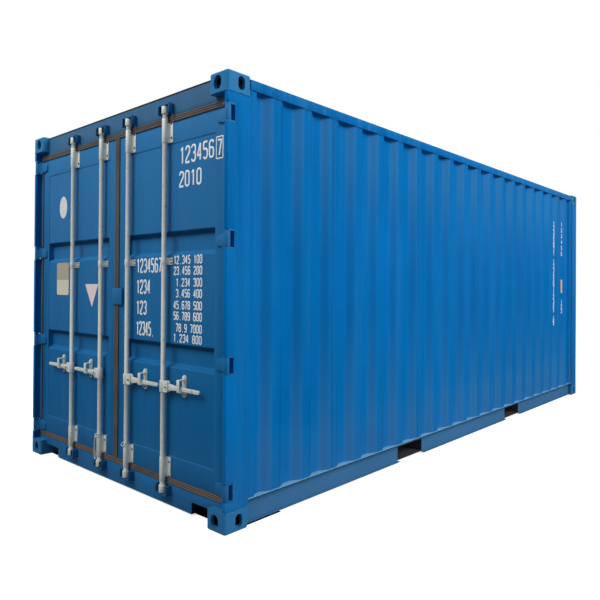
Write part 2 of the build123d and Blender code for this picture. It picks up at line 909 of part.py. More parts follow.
def build():
    """Every node of the container, by name."""
    right_bars = [x for x in bar_x if x > 0]
    left_bars = [x for x in bar_x if x < 0]
    nodes = {
        "bottom_castings": four_corners(casting(False)),
        "top_castings": four_corners(casting(True)),
        "right_door_post": [rear_post()],
        "right_front_post": [front_post()],
        "door_header": [door_header()],
        "door_sill": [door_sill()],
        "front_top_rail": [front_top_rail()],
        "front_bottom_rail": [front_bottom_rail()],
        "right_top_rail": [top_rail()],
        "right_bottom_rail": [bottom_rail()],
        "right_wall": [side_wall()],
        "front_wall": [front_wall()],
        "roof": [roof()],
        "roof_corner_plates": four_corners(roof_corner_plate()),
        "cross_members": [cross_member(y) for y in member_places()],
        "fork_pockets": fork_pocket(-fork_centre) + fork_pocket(fork_centre),
        "floor_boards": [floor_boards()],
        "cam_keepers": [cam_keeper(x, top) for x in bar_x for top in (False, True)],
        "right_hinge_lugs": hinge_lugs(),
        "right_ventilator": [ventilator()],
        "right_leaf_frame": [door_frame()],
        "right_leaf_panel": [door_panel()],
        "right_leaf_gasket": [door_gasket()],
        "right_hinge_blades": hinge_blades(),
        "right_bar_brackets": bar_brackets(right_bars),
        "left_bar_brackets": bar_brackets(left_bars),
        "right_handle_seats": [retainer(x) for x in right_bars],
        "left_handle_seats": [retainer(x) for x in left_bars],
        "lap_plate": [lap_plate()],
    }
    for name in [n for n in nodes if n.startswith("right_")]:
        left = name.replace("right_", "left_", 1)
        if left not in nodes:
            nodes[left] = [flip_x(piece) for piece in nodes[name]]
    for number, x in enumerate(bar_x, 1):
        nodes[f"lock_bar_{number}"] = [lock_bar(x)]
        nodes[f"handle_{number}"] = [handle(x)]
        nodes[f"catch_{number}"] = [catch(x)]
    return nodes


def main():
    os.makedirs("parts", exist_ok=True)
    for name, pieces in build().items():
        solids = [s for piece in pieces for s in piece.solids()]
        shape = Compound(children=solids) if len(solids) > 1 else solids[0]
        export_step(shape, f"parts/{name}.step")


main()
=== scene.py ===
"""Dresses a 20 ft cargo container: paint, pressed sheets, weld seams, lock gear details and markings."""
import json
import math
import random

import bmesh
import bpy
from bpy.props import FloatProperty, FloatVectorProperty, IntProperty, PointerProperty, StringProperty
from mathutils import Matrix, Vector

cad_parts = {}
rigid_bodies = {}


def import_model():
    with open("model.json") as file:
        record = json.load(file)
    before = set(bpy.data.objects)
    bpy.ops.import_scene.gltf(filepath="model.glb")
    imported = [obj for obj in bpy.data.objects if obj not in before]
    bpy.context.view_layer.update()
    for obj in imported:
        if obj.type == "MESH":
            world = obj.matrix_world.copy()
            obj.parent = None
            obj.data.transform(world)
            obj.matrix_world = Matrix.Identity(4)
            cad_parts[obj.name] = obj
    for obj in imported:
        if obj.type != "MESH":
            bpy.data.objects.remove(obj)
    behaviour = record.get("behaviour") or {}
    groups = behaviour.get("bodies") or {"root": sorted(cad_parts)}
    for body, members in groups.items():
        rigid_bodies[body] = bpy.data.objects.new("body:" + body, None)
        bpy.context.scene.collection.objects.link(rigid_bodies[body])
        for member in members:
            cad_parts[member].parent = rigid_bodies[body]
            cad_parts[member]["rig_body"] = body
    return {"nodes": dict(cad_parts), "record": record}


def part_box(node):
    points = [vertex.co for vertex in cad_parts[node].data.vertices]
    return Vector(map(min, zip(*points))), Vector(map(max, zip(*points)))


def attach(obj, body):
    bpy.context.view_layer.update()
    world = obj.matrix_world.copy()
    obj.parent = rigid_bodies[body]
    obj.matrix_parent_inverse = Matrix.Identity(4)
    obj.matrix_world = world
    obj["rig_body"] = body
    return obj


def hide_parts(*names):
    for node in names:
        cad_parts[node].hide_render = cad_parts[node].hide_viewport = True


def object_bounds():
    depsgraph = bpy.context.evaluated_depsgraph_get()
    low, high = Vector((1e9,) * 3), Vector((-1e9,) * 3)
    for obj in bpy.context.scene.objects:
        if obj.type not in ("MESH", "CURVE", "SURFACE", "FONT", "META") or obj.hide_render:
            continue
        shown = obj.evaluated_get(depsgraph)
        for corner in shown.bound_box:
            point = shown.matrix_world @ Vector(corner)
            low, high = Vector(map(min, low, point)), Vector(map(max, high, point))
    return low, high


bl_info = {
    "name": "Cargo container dressing",
    "version": (1, 0, 0),
    "blender": (4, 5, 0),
    "location": "View3D > Sidebar > Container",
    "description": "Builds the finishes and the small parts of a 20 ft cargo container",
    "category": "Object",
}

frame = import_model()
CAD_LOW, CAD_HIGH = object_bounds()
SIDES = (("left", -1), ("right", 1))
RANDOM_SEED = 20
MASK_EDGE = 0.001


# Shader and geometry node expressions


class Wire:
    """An output socket that can stand in an arithmetic expression."""

    def __init__(self, owner, socket):
        self.owner = owner
        self.socket = socket

    def math(self, operation, *values):
        """A Math node on this socket and up to two other values."""
        places = dict(enumerate(values))
        made = self.owner.node("ShaderNodeMath", {"operation": operation}, places)
        return Wire(self.owner, made.outputs[0])

    def __add__(self, other):
        return self.math("ADD", self, other)

    def __radd__(self, other):
        return self.math("ADD", other, self)

    def __sub__(self, other):
        return self.math("SUBTRACT", self, other)

    def __rsub__(self, other):
        return self.math("SUBTRACT", other, self)

    def __mul__(self, other):
        return self.math("MULTIPLY", self, other)

    def __rmul__(self, other):
        return self.math("MULTIPLY", other, self)

    def __truediv__(self, other):
        return self.math("DIVIDE", self, other)

    def __rtruediv__(self, other):
        return self.math("DIVIDE", other, self)

    def above(self, limit, softness):
        """0 below the limit, 1 above it, with a soft step between."""
        return ((self - limit) / softness + 0.5).clamp()

    def clamp(self):
        """The value kept between 0 and 1."""
        return self.math("MINIMUM", self.math("MAXIMUM", self, 0.0), 1.0)

    def low(self, other):
        """The smaller of the two values."""
        return self.math("MINIMUM", self, other)

    def high(self, other):
        """The larger of the two values."""
        return self.math("MAXIMUM", self, other)


class Nodes:
    """Adds nodes to a tree, with their settings first and then their sockets."""

    def __init__(self, tree):
        self.tree = tree

    def node(self, kind, settings=None, sockets=None):
        """One node of any kind. Socket keys are names or numbers, values are Wires or plain values."""
        made = self.tree.nodes.new(kind)
        for key, value in (settings or {}).items():
            if key == "stops":
                self.set_stops(made.color_ramp, value)
            else:
                setattr(made, key, value)
        for key, value in (sockets or {}).items():
            if isinstance(value, Wire):
                self.tree.links.new(value.socket, made.inputs[key])
            else:
                made.inputs[key].default_value = value
        return made

    def wire(self, kind, output=0, settings=None, sockets=None):
        """The chosen output of a new node."""
        return Wire(self, self.node(kind, settings, sockets).outputs[output])

    @staticmethod
    def set_stops(ramp, stops):
        """Gives a ramp the stops of a list of (place, colour)."""
        while len(ramp.elements) < len(stops):
            ramp.elements.new(0.5)
        for element, (place, colour) in zip(ramp.elements, stops):
            element.position = place
            element.color = (*colour[:3], 1.0)

    def parts(self, vector):
        """The x, y and z of a vector."""
        made = self.node("ShaderNodeSeparateXYZ", sockets={0: vector})
        return [Wire(self, made.outputs[i]) for i in range(3)]

    def vector(self, x, y, z):
        """A vector of three values."""
        return self.wire("ShaderNodeCombineXYZ", sockets={0: x, 1: y, 2: z})


class Finish(Nodes):
    """One procedural material on object coordinates."""

    def __init__(self, name):
        self.material = bpy.data.materials.new(name)
        self.material.use_nodes = True
        super().__init__(self.material.node_tree)
        self.tree.nodes.clear()
        self.place = self.wire("ShaderNodeTexCoord", "Object")
        self.x, self.y, self.z = self.parts(self.place)

    def noise(self, scale, detail=3.0, roughness=0.55, stretch=(1.0, 1.0, 1.0), shift=0.0):
        """Noise on object coordinates, stretched per axis."""
        at = self.wire(
            "ShaderNodeMapping",
            sockets={0: self.place, "Location": (shift, shift, shift), "Scale": stretch},
        )
        sockets = {"Vector": at, "Scale": scale, "Detail": detail, "Roughness": roughness}
        return self.wire("ShaderNodeTexNoise", 0, sockets=sockets)

    def mix(self, share, first, second):
        """Two colours mixed by a share."""
        made = self.node("ShaderNodeMix", {"data_type": "RGBA"}, {0: share, 6: first, 7: second})
        return Wire(self, made.outputs[2])

    def within(self, low, high):
        """1 inside a box that is mirrored in x and y about the origin, 0 outside it."""
        across = self.x.math("ABSOLUTE", self.x)
        along = self.y.math("ABSOLUTE", self.y)
        inside = 1.0
        for value, start, end in zip((across, along, self.z), low, high):
            inside = value.above(start, MASK_EDGE) * (end - value).above(0.0, MASK_EDGE) * inside
        return inside

    def bump(self, height):
        """A normal from a height in metres."""
        sockets = {"Strength": 1.0, "Distance": 1.0, "Height": height}
        return self.wire("ShaderNodeBump", sockets=sockets)

    def finish(self, colour, roughness, normal=None, **constants):
        """Closes the material with one Principled shader."""
        sockets = {"Base Color": colour, "Roughness": roughness}
        if normal is not None:
            sockets["Normal"] = normal
        for key, value in constants.items():
            sockets[key.replace("_", " ")] = value
        shader = self.wire("ShaderNodeBsdfPrincipled", sockets=sockets)
        self.node("ShaderNodeOutputMaterial", sockets={0: shader})
        return self.material


def colour4(colour):
    """A colour with its alpha."""
    return (*colour[:3], 1.0)


def shade(colour, factor):
    """A colour made darker or lighter, with its alpha."""
    return (*(min(1.0, c * factor) for c in colour[:3]), 1.0)


# Finishes


def painted_steel(name, colour, settings, gloss, wave=0.0, streaks=1.0, height_shading=0.0, hollows=(), tint=None):
    """Satin container paint with faded patches, rain streaks, road dust low down and small chips.

    Height shading is painted light from above: it makes the paint darker towards the bottom and paler and
    greyer towards the top. Hollows are boxes that hold surfaces which no light reaches, such as the inside of
    a casting, and are painted near black as shade. Tint takes the finish and a colour and gives the colour
    back."""
    f = Finish(name)
    patches = f.noise(1.3, 4.0, 0.6)
    fine = f.noise(38.0, 3.0, 0.6)
    runs = f.noise(7.0, 4.0, 0.65, (1.0, 1.0, 0.05))
    base = f.mix((patches - 0.3) * 1.6, shade(colour, 0.86), shade(colour, 1.13))
    base = f.mix(fine.above(0.52, 0.5) * 0.16, base, shade(colour, 1.4))
    # Painted light from above: darker low down, paler and greyer high up.
    if height_shading:
        height = ((f.z - 0.5) / 1.8).clamp()
        base = f.mix((1.0 - height) * height_shading, base, shade(colour, 0.8))
        base = f.mix(height * height_shading * 0.35, base, colour4(settings.faded_and_sheen_colour))
    if tint:
        base = tint(f, base)
    streak = runs.above(0.6, 0.22) * settings.streaks * streaks
    base = f.mix(streak * 0.34, base, colour4(settings.faded_and_sheen_colour))
    low = (1.0 - f.z / 0.55).clamp()
    dust = (low * (fine + patches)).clamp() * settings.dust
    base = f.mix(dust, base, colour4(settings.dust_colour))
    chip_field = f.noise(95.0, 2.0, 0.5) + 0.35 * f.noise(9.0, 2.0, 0.5, shift=3.0)
    chips = chip_field.above(settings.chip_level, 0.012)
    rust_field = f.noise(240.0, 2.0, 0.7)
    chip_colour = f.mix(rust_field, colour4(settings.primer_colour), colour4(settings.rust_colour))
    base = f.mix(chips, base, chip_colour)
    # Painted shade: near black inside each hollow box.
    for box in hollows:
        base = f.mix(f.within(*box), base, shade(colour, 0.06))
    roughness = 0.44 + 0.18 * patches + 0.25 * dust + 0.2 * chips
    height = f.noise(420.0, 2.0, 0.5) * 0.00004 - chips * 0.00012
    if wave:
        height = height + f.noise(2.2, 2.0, 0.4, (1.0, 1.0, 0.6)) * wave
    return f.finish(base, roughness, f.bump(height), Specular_IOR_Level=gloss)


def wall_sheen_and_shade(settings):
    """A tint for the side walls with painted light: a paler, greyer painted sheen on the slopes that look to
    the doors, painted shade along the start of each recess and a painted shadow in the strip by the front
    corner post, the sheen and the recess shade stronger near the top and bottom.
    """

    def tint(f, base):
        step = f.y + CAD_HIGH.y - WALL_START
        step = step.math("FLOORED_MODULO", step, WALL_RIB["Pitch"])
        start = WALL_RIB["Slope"] + WALL_RIB["Flat"]
        slope_sheen = step.above(start, 0.03) * (start + WALL_RIB["Slope"] - step).above(0.0, 0.03)
        edge = 1.0 - ((step - 0.012) / 0.03).clamp()
        middle = f.z - WALL_MIDDLE
        ends = (middle * middle / WALL_END_REACH).clamp()
        # Painted sheen: the slopes that look to the doors are paler and greyer.
        base = f.mix(slope_sheen * (ends * 0.42 + 0.04), base, colour4(settings.faded_and_sheen_colour))
        # Painted shade along the start of each recess.
        base = f.mix(edge * (ends * 0.35 + 0.15), base, shade(settings.body_colour, 0.45))
        # Painted shadow in the strip next to the front corner post.
        gap = f.y.above(CAD_HIGH.y - FAR_STRIP, 0.01)
        return f.mix(gap * 0.6, base, shade(settings.body_colour, 0.3))

    return tint


def bright_ledge(f, base):
    """A tint for the bottom rails: their upper face catches the light in each recess of the wall."""
    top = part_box("left_bottom_rail")[1].z
    return f.mix(f.z.above(top - 0.004, 0.001), base, colour4(LEDGE_COLOUR))


def paint_runs(settings):
    """A tint for the rails: short upright runs, darker and paler than the paint."""

    def tint(f, base):
        runs = f.noise(16.0, 3.0, 0.6, (1.0, 1.0, 0.12))
        base = f.mix(runs.above(0.6, 0.12) * 0.3, base, colour4(settings.faded_and_sheen_colour))
        return f.mix((0.42 - runs).above(0.0, 0.1) * 0.35, base, shade(settings.body_colour, 0.6))

    return tint


def band_shadows(settings):
    """A tint for the door panels: painted shade on the slopes under the ledges of the bands."""

    def tint(f, base):
        low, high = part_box("right_leaf_panel")
        first, pitch, span = band_places(high.z - low.z)
        step = f.z - (low.z + first + span - 0.030)
        for i in range(BAND_RIB["Count"]):
            at = step - i * pitch
            ledge = at.above(0.0, 0.012) * (0.032 - at).above(0.0, 0.004)
            # Painted shade under each band's ledge.
            base = f.mix(ledge * 0.65, base, shade(settings.door_colour, 0.25))
        return base

    return tint


def band_places(length):
    """Start of the first band, the step from band to band and the height of one."""
    band = 2 * BAND_RIB["Slope"] + BAND_RIB["Flat"]
    field = (length - BAND_RIB["Count"] * band) / (BAND_RIB["Count"] + 1)
    return field, field + band, band


def front_face_shade(settings):
    """A tint for the door posts: the lip that looks to the front gets the door end's painted shade, the
    darker, greyer copy of the paint.
    """

    def tint(f, base):
        front = (f.y * -1.0).above(CAD_HIGH.y - 0.0025, 0.001)
        # Painted shade: the door end's tone, a little greyer.
        pale = f.mix(0.25, colour4(settings.door_colour), colour4(settings.faded_and_sheen_colour))
        return f.mix(front, base, pale)

    return tint


def zinc(name, settings):
    """Hot dip galvanised steel: dull spangle, white bloom and a few dark scuffs."""
    f = Finish(name)
    cells = f.wire("ShaderNodeTexVoronoi", "Color", sockets={"Vector": f.place, "Scale": 120.0})
    tone = f.parts(cells)[0]
    bloom = f.noise(14.0, 4.0, 0.65)
    colour = settings.zinc_colour
    base = f.mix(tone * 0.7, shade(colour, 0.86), shade(colour, 1.1))
    base = f.mix(bloom.above(0.55, 0.3) * 0.5, base, (0.78, 0.8, 0.76, 1.0))
    scuffs = f.noise(60.0, 3.0, 0.7, (1.0, 1.0, 0.25)).above(0.67, 0.06)
    base = f.mix(scuffs * 0.6, base, (0.16, 0.13, 0.1, 1.0))
    roughness = 0.42 + 0.2 * bloom + 0.12 * tone
    height = tone * 0.00003 + f.noise(260.0) * 0.00006
    return f.finish(base, roughness, f.bump(height), Metallic=0.2, Specular_IOR_Level=0.4)


def rubber(name, colour, settings):
    """Weathered seal rubber, brown with age and dust in its pores."""
    f = Finish(name)
    grain = f.noise(180.0, 3.0, 0.6)
    dust = f.noise(6.0, 4.0, 0.65).above(0.5, 0.35)
    patches = f.noise(2.5, 3.0, 0.6).above(0.52, 0.25)
    base = f.mix(grain, shade(colour, 0.7), shade(colour, 1.3))
    base = f.mix(patches * 0.6, base, shade(colour, 0.45))
    base = f.mix(dust * 0.3, base, colour4(settings.dust_colour))
    return f.finish(base, 0.72 + 0.2 * grain, f.bump(grain * 0.0001), Specular_IOR_Level=0.3)


def plywood(name, settings):
    """Oiled floor boards: grain along the container, board joints across and scuffs."""
    f = Finish(name)
    board = f.x / 0.2917
    edge = board.math("PINGPONG", board, 0.5)
    joint = 1.0 - (edge / 0.008).clamp()
    grain = f.noise(34.0, 5.0, 0.62, (1.0, 0.06, 1.0))
    tone = f.noise(1.4, 2.0, 0.5, (3.2, 0.3, 1.0))
    stops = [
        (0.25, shade(settings.ply_colour, 0.62)),
        (0.55, colour4(settings.ply_colour)),
        (0.8, shade(settings.ply_colour, 1.5)),
    ]
    base = f.wire("ShaderNodeValToRGB", "Color", {"stops": stops}, {0: grain * 0.7 + tone * 0.3})
    base = f.mix(joint, base, shade(settings.ply_colour, 0.12))
    scuff = f.noise(16.0, 4.0, 0.7, (1.0, 0.3, 1.0)).above(0.64, 0.08)
    base = f.mix(scuff * 0.4, base, (0.03, 0.03, 0.03, 1.0))
    height = grain * 0.0004 - joint * 0.002
    return f.finish(base, 0.5 + 0.25 * grain, f.bump(height), Specular_IOR_Level=0.35)


def under_coat(name, settings):
    """Black wax underneath, splashed with road dust."""
    f = Finish(name)
    splash = f.noise(5.0, 5.0, 0.7).above(0.5, 0.3)
    grain = f.noise(120.0, 3.0, 0.6)
    base = f.mix(grain, (0.012, 0.012, 0.013, 1.0), (0.03, 0.03, 0.032, 1.0))
    base = f.mix(splash * 0.5, base, shade(settings.dust_colour, 0.5))
    return f.finish(base, 0.55 + 0.3 * grain, f.bump(grain * 0.0003), Specular_IOR_Level=0.3)


def stencil_paint(name, colour, background):
    """Sprayed white markings, thin in places."""
    f = Finish(name)
    wear = f.noise(70.0, 4.0, 0.7).above(0.66, 0.05)
    tone = f.noise(20.0, 3.0, 0.6)
    base = f.mix(tone, shade(colour, 0.86), shade(colour, 1.05))
    base = f.mix(wear * 0.75, base, colour4(background))
    height = f.noise(300.0) * 0.00004
    return f.finish(base, 0.5 + 0.2 * tone, f.bump(height), Specular_IOR_Level=0.3)


def printed_plate(name, colour, line_colour, pitch, upper=None, split=0.0):
    """A pale plate with rows of faint engraved lines. Upper is its colour above the split."""
    f = Finish(name)
    row = f.z / pitch
    line = 1.0 - (row.math("PINGPONG", row, 0.5) / 0.12).clamp()
    gaps = f.noise(110.0, 1.0, 0.3, (1.0, 1.0, 0.02)).above(0.5, 0.08)
    tone = f.noise(18.0, 4.0, 0.6)
    base = f.mix(tone, shade(colour, 0.8), shade(colour, 1.08))
    if upper:
        base = f.mix(f.z.above(split, 0.004), base, colour4(upper))
    base = f.mix(line * gaps * 0.4, base, colour4(line_colour))
    height = -1.0 * line * 0.0001 + tone * 0.00005
    return f.finish(base, 0.38 + 0.3 * tone, f.bump(height), Specular_IOR_Level=0.4)


def weld_metal(name, colour, settings):
    """Painted weld seam, a little darker than the sheet, its ripples paler as a painted highlight, with soot
    and rust in them.
    """
    f = Finish(name)
    ripple = f.noise(190.0, 2.0, 0.5)
    rust = f.noise(11.0, 4.0, 0.7).above(0.8, 0.06)
    # The ripples run from a darker tone to a paler painted highlight.
    base = f.mix(ripple, shade(colour, 0.8), colour4(settings.faded_and_sheen_colour))
    base = f.mix(rust * 0.7, base, colour4(settings.rust_colour))
    return f.finish(base, 0.5 + 0.2 * ripple, f.bump(ripple * 0.0004), Specular_IOR_Level=0.1)


# Geometry node recipes


class Recipe(Nodes):
    """A geometry node tree with named inputs that ends in Realize Instances and Set Material."""

    def __init__(self, name, inputs):
        tree = bpy.data.node_groups.new(name, "GeometryNodeTree")
        super().__init__(tree)
        face = tree.interface
        face.new_socket("Geometry", in_out="INPUT", socket_type="NodeSocketGeometry")
        self.names = {}
        for label, value in inputs.items():
            whole = isinstance(value, int)
            kind = "NodeSocketInt" if whole else "NodeSocketFloat"
            socket = face.new_socket(label, in_out="INPUT", socket_type=kind)
            socket.default_value = value
            self.names[label] = socket.identifier
        coat = face.new_socket("Material", in_out="INPUT", socket_type="NodeSocketMaterial")
        self.names["Material"] = coat.identifier
        face.new_socket("Geometry", in_out="OUTPUT", socket_type="NodeSocketGeometry")
        self.entry = tree.nodes.new("NodeGroupInput")
        self.geometry = Wire(self, self.entry.outputs["Geometry"])

    def value(self, label):
        """A named input of the recipe."""
        return Wire(self, self.entry.outputs[label])

    def close(self, geometry, smooth=True):
        """Realizes the instances, sets the material and ends the tree."""
        real = self.wire("GeometryNodeRealizeInstances", sockets={0: geometry})
        made = self.node("GeometryNodeSetShadeSmooth", sockets={0: real})
        made.inputs["Shade Smooth"].default_value = smooth
        coat = self.node("GeometryNodeSetMaterial", sockets={0: Wire(self, made.outputs[0])})
        self.tree.links.new(self.entry.outputs["Material"], coat.inputs["Material"])
        end = self.tree.nodes.new("NodeGroupOutput")
        self.tree.links.new(coat.outputs[0], end.inputs[0])
        return self

    def attach(self, obj, values, material):
        """Puts the recipe on an object with its values, before the object is evaluated."""
        modifier = obj.modifiers.new(self.tree.name, "NODES")
        modifier.node_group = self.tree
        for label, value in values.items():
            modifier[self.names[label]] = value
        modifier[self.names["Material"]] = material


def ribbed_sheet_recipe():
    """A sheet with trapezoid ribs across its length, soft at the bends and a little wavy."""
    r = Recipe(
        "ribbed sheet",
        {
            "Length": 5.0,
            "Width": 2.0,
            "Columns": 500,
            "Rows": 8,
            "First": 0.1,
            "Pitch": 0.3,
            "Slope": 0.07,
            "Flat": 0.07,
            "Depth": 0.036,
            "Count": 10,
            "Margin": 0.0,
            "Softness": 0.7,
            "Waviness": 0.001,
        },
    )
    grid = r.wire(
        "GeometryNodeMeshGrid",
        sockets={
            0: r.value("Length"),
            1: r.value("Width"),
            2: r.value("Columns"),
            3: r.value("Rows"),
        },
    )
    place = r.wire("GeometryNodeInputPosition")
    across = r.parts(place)[0]
    along = across + r.value("Length") * 0.5 - r.value("First")
    inside = along.above(0.0, 0.0001) * (r.value("Count") * r.value("Pitch") - along).above(0.0, 0.0001)
    edge = r.value("Length") * 0.5 - across.math("ABSOLUTE", across) - r.value("Margin")
    inside = inside * (edge / 0.02).clamp()
    step = along.math("FLOORED_MODULO", along, r.value("Pitch"))
    span = r.value("Slope") * 2.0 + r.value("Flat")
    ramp = (step.low(span - step) / r.value("Slope")).clamp()
    soft = ramp * ramp * (3.0 - 2.0 * ramp)
    depth = (ramp + (soft - ramp) * r.value("Softness")) * inside * r.value("Depth")
    noise = r.wire("ShaderNodeTexNoise", 0, sockets={"Vector": place, "Scale": 1.7, "Detail": 1.0})
    wave = (noise - 0.5) * r.value("Waviness") * 2.0
    shift = r.vector(0.0, 0.0, wave - depth)
    moved = r.wire("GeometryNodeSetPosition", sockets={0: grid, "Offset": shift})
    return r.close(moved)


def weld_recipe():
    """A rippled bead along the edges of the object."""
    r = Recipe("weld bead", {"Radius": 0.003, "Step": 0.008, "Ripple": 0.0008})
    line = r.wire("GeometryNodeMeshToCurve", sockets={0: r.geometry})
    settings = {"mode": "LENGTH"}
    line = r.wire("GeometryNodeResampleCurve", 0, settings, {0: line, "Length": r.value("Step")})
    ring = r.wire(
        "GeometryNodeCurvePrimitiveCircle",
        sockets={"Resolution": 6, "Radius": r.value("Radius")},
    )
    bead = r.wire("GeometryNodeCurveToMesh", sockets={0: line, 1: ring, "Fill Caps": True})
    place = r.wire("GeometryNodeInputPosition")
    noise = r.node("ShaderNodeTexNoise", sockets={"Vector": place, "Scale": 90.0, "Detail": 1.0})
    push = r.wire(
        "ShaderNodeVectorMath",
        settings={"operation": "SUBTRACT"},
        sockets={0: Wire(r, noise.outputs["Color"]), 1: (0.5, 0.5, 0.5)},
    )
    push = r.wire(
        "ShaderNodeVectorMath",
        settings={"operation": "SCALE"},
        sockets={0: push, "Scale": r.value("Ripple")},
    )
    return r.close(r.wire("GeometryNodeSetPosition", sockets={0: bead, "Offset": push}))


def seated(r, piece):
    """Copies of a piece on the object's points, its own up turned to each point's facing."""
    facing = r.wire(
        "GeometryNodeInputNamedAttribute",
        0,
        {"data_type": "FLOAT_VECTOR"},
        {"Name": "facing"},
    )
    turn = r.wire(
        "FunctionNodeAlignRotationToVector", settings={"axis": "Z"}, sockets={"Vector": facing}
    )
    sockets = {0: r.geometry, "Instance": piece, "Rotation": turn}
    return r.wire("GeometryNodeInstanceOnPoints", sockets=sockets)


def cylinder(r, sides, radius, depth, lift):
    """A short cylinder of the recipe, lifted along its axis."""
    sockets = {"Vertices": sides, "Radius": radius, "Depth": depth}
    made = r.wire("GeometryNodeMeshCylinder", sockets=sockets)
    return r.wire("GeometryNodeTransform", sockets={0: made, "Translation": r.vector(0.0, 0.0, lift)})


def joined(r, *pieces):
    """Several geometries as one."""
    made = r.node("GeometryNodeJoinGeometry")
    for piece in reversed(pieces):
        r.tree.links.new(piece.socket, made.inputs[0])
    return Wire(r, made.outputs[0])


def bolt_recipe():
    """Washer, hexagon head and the end of the stud."""
    r = Recipe("bolt head", {"Radius": 0.008, "Height": 0.006})
    radius, height = r.value("Radius"), r.value("Height")
    washer = cylinder(r, 16, radius * 1.45, height * 0.3, height * 0.15)
    head = cylinder(r, 6, radius, height, height * 0.8)
    stud = cylinder(r, 10, radius * 0.5, height * 0.5, height * 1.5)
    return r.close(seated(r, joined(r, washer, head, stud)), smooth=False)


def rivet_recipe():
    """A flattened dome."""
    r = Recipe("rivet head", {"Radius": 0.008, "Height": 0.004})
    sockets = {"Segments": 12, "Rings": 6, "Radius": r.value("Radius")}
    ball = r.wire("GeometryNodeMeshUVSphere", sockets=sockets)
    scale = r.vector(1.0, 1.0, r.value("Height") / r.value("Radius"))
    return r.close(seated(r, r.wire("GeometryNodeTransform", sockets={0: ball, "Scale": scale})))


def ring_recipe():
    """A half ring of round rod that stands on each point, for lashing."""
    r = Recipe("lashing ring", {"Rod": 0.006, "Radius": 0.028})
    line = r.wire(
        "GeometryNodeCurveArc",
        sockets={
            "Resolution": 14,
            "Radius": r.value("Radius"),
            "Start Angle": 0.0,
            "Sweep Angle": math.pi,
        },
    )
    hoop = r.wire(
        "GeometryNodeCurvePrimitiveCircle", sockets={"Resolution": 8, "Radius": r.value("Rod")}
    )
    rod = r.wire("GeometryNodeCurveToMesh", sockets={0: line, 1: hoop, "Fill Caps": True})
    upright = r.wire("GeometryNodeTransform", sockets={0: rod, "Rotation": (math.pi / 2, 0.0, 0.0)})
    return r.close(seated(r, upright))


# Mesh helpers


def new_object(name, mesh, material=None):
    """A linked object at the origin."""
    obj = bpy.data.objects.new(name, mesh)
    bpy.context.scene.collection.objects.link(obj)
    if material is not None:
        mesh.materials.append(material)
    return obj


def settle(obj):
    """Turns the modifiers of an object into its plain mesh."""
    graph = bpy.context.evaluated_depsgraph_get()
    mesh = bpy.data.meshes.new_from_object(obj.evaluated_get(graph), depsgraph=graph)
    obj.modifiers.clear()
    obj.data = mesh
    return obj


def mounted(obj, body, slot=None):
    """The piece rides on a body. The slot is not used."""
    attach(obj, body)
    return obj


def merged_copy(node):
    """A CAD node's triangles joined into one skin."""
    mesh = bmesh.new()
    mesh.from_mesh(frame["nodes"][node].data)
    bmesh.ops.remove_doubles(mesh, verts=mesh.verts, dist=0.00002)
    return mesh


def solids_of(node):
    """(lowest corner, highest corner) of each separate solid of a CAD node."""
    mesh = merged_copy(node)
    seen = set()
    boxes = []
    for start in mesh.verts:
        if start in seen:
            continue
        seen.add(start)
        open_ends, points = [start], []
        while open_ends:
            vertex = open_ends.pop()
            points.append(vertex.co.copy())
            for edge in vertex.link_edges:
                other = edge.other_vert(vertex)
                if other not in seen:
                    seen.add(other)
                    open_ends.append(other)
        low = Vector(min(p[i] for p in points) for i in range(3))
        high = Vector(max(p[i] for p in points) for i in range(3))
        boxes.append((low, high))
    mesh.free()
    return boxes


def eased(node, radius, material):
    """A copy of a CAD node with its sharp edges rounded, standing for the node."""
    mesh = merged_copy(node)
    bmesh.ops.dissolve_limit(mesh, angle_limit=0.01, verts=mesh.verts, edges=mesh.edges)
    sharp = [
        edge
        for edge in mesh.edges
        if len(edge.link_faces) == 2 and edge.calc_face_angle(0.0) > math.radians(38)
    ]
    bmesh.ops.bevel(
        mesh,
        geom=sharp,
        offset=radius,
        segments=2,
        profile=0.5,
        affect="EDGES",
        clamp_overlap=True,
    )
    data = bpy.data.meshes.new(f"{node}_eased")
    mesh.to_mesh(data)
    mesh.free()
    data.polygons.foreach_set("use_smooth", [True] * len(data.polygons))
    data.set_sharp_from_angle(angle=math.radians(32))
    obj = new_object(f"{node}_eased", data, material)
    mounted(obj, frame["nodes"][node]["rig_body"], slot_of(node))
    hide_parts(node)
    return obj


def slot_of(node):
    """The record's material slot of a CAD node."""
    for row in frame["record"]["subparts"]:
        if row["node"] == node:
            return row["material_slot"]
    raise RuntimeError(f"{node} isn't in the record")


def points_object(name, places):
    """A mesh of loose points, each with the way that it faces."""
    mesh = bpy.data.meshes.new(name)
    mesh.from_pydata([place for place, _ in places], [], [])
    facing = mesh.attributes.new("facing", "FLOAT_VECTOR", "POINT")
    facing.data.foreach_set("vector", [c for _, way in places for c in way])
    return new_object(name, mesh)


def lines_object(name, lines):
    """A mesh of open or closed edge runs."""
    mesh = bpy.data.meshes.new(name)
    points, edges = [], []
    for line in lines:
        start = len(points)
        points += [tuple(p) for p in line]
        edges += [(start + i, start + i + 1) for i in range(len(line) - 1)]
    mesh.from_pydata(points, edges, [])
    return new_object(name, mesh)


def seat_all(name, recipe, places, values, finish, body):
    """One piece of all the studs or rings of a kind on a body, in the given finish."""
    obj = points_object(name, places)
    RECIPES[recipe].attach(obj, values, FINISHES[finish])
    return mounted(settle(obj), body, "galvanised")


def run_beads(name, lines, values, finish, body, slot=None):
    """One piece of all the beads of a kind on a body."""
    obj = lines_object(name, lines)
    RECIPES["weld"].attach(obj, values, FINISHES[finish])
    return mounted(settle(obj), body, slot)


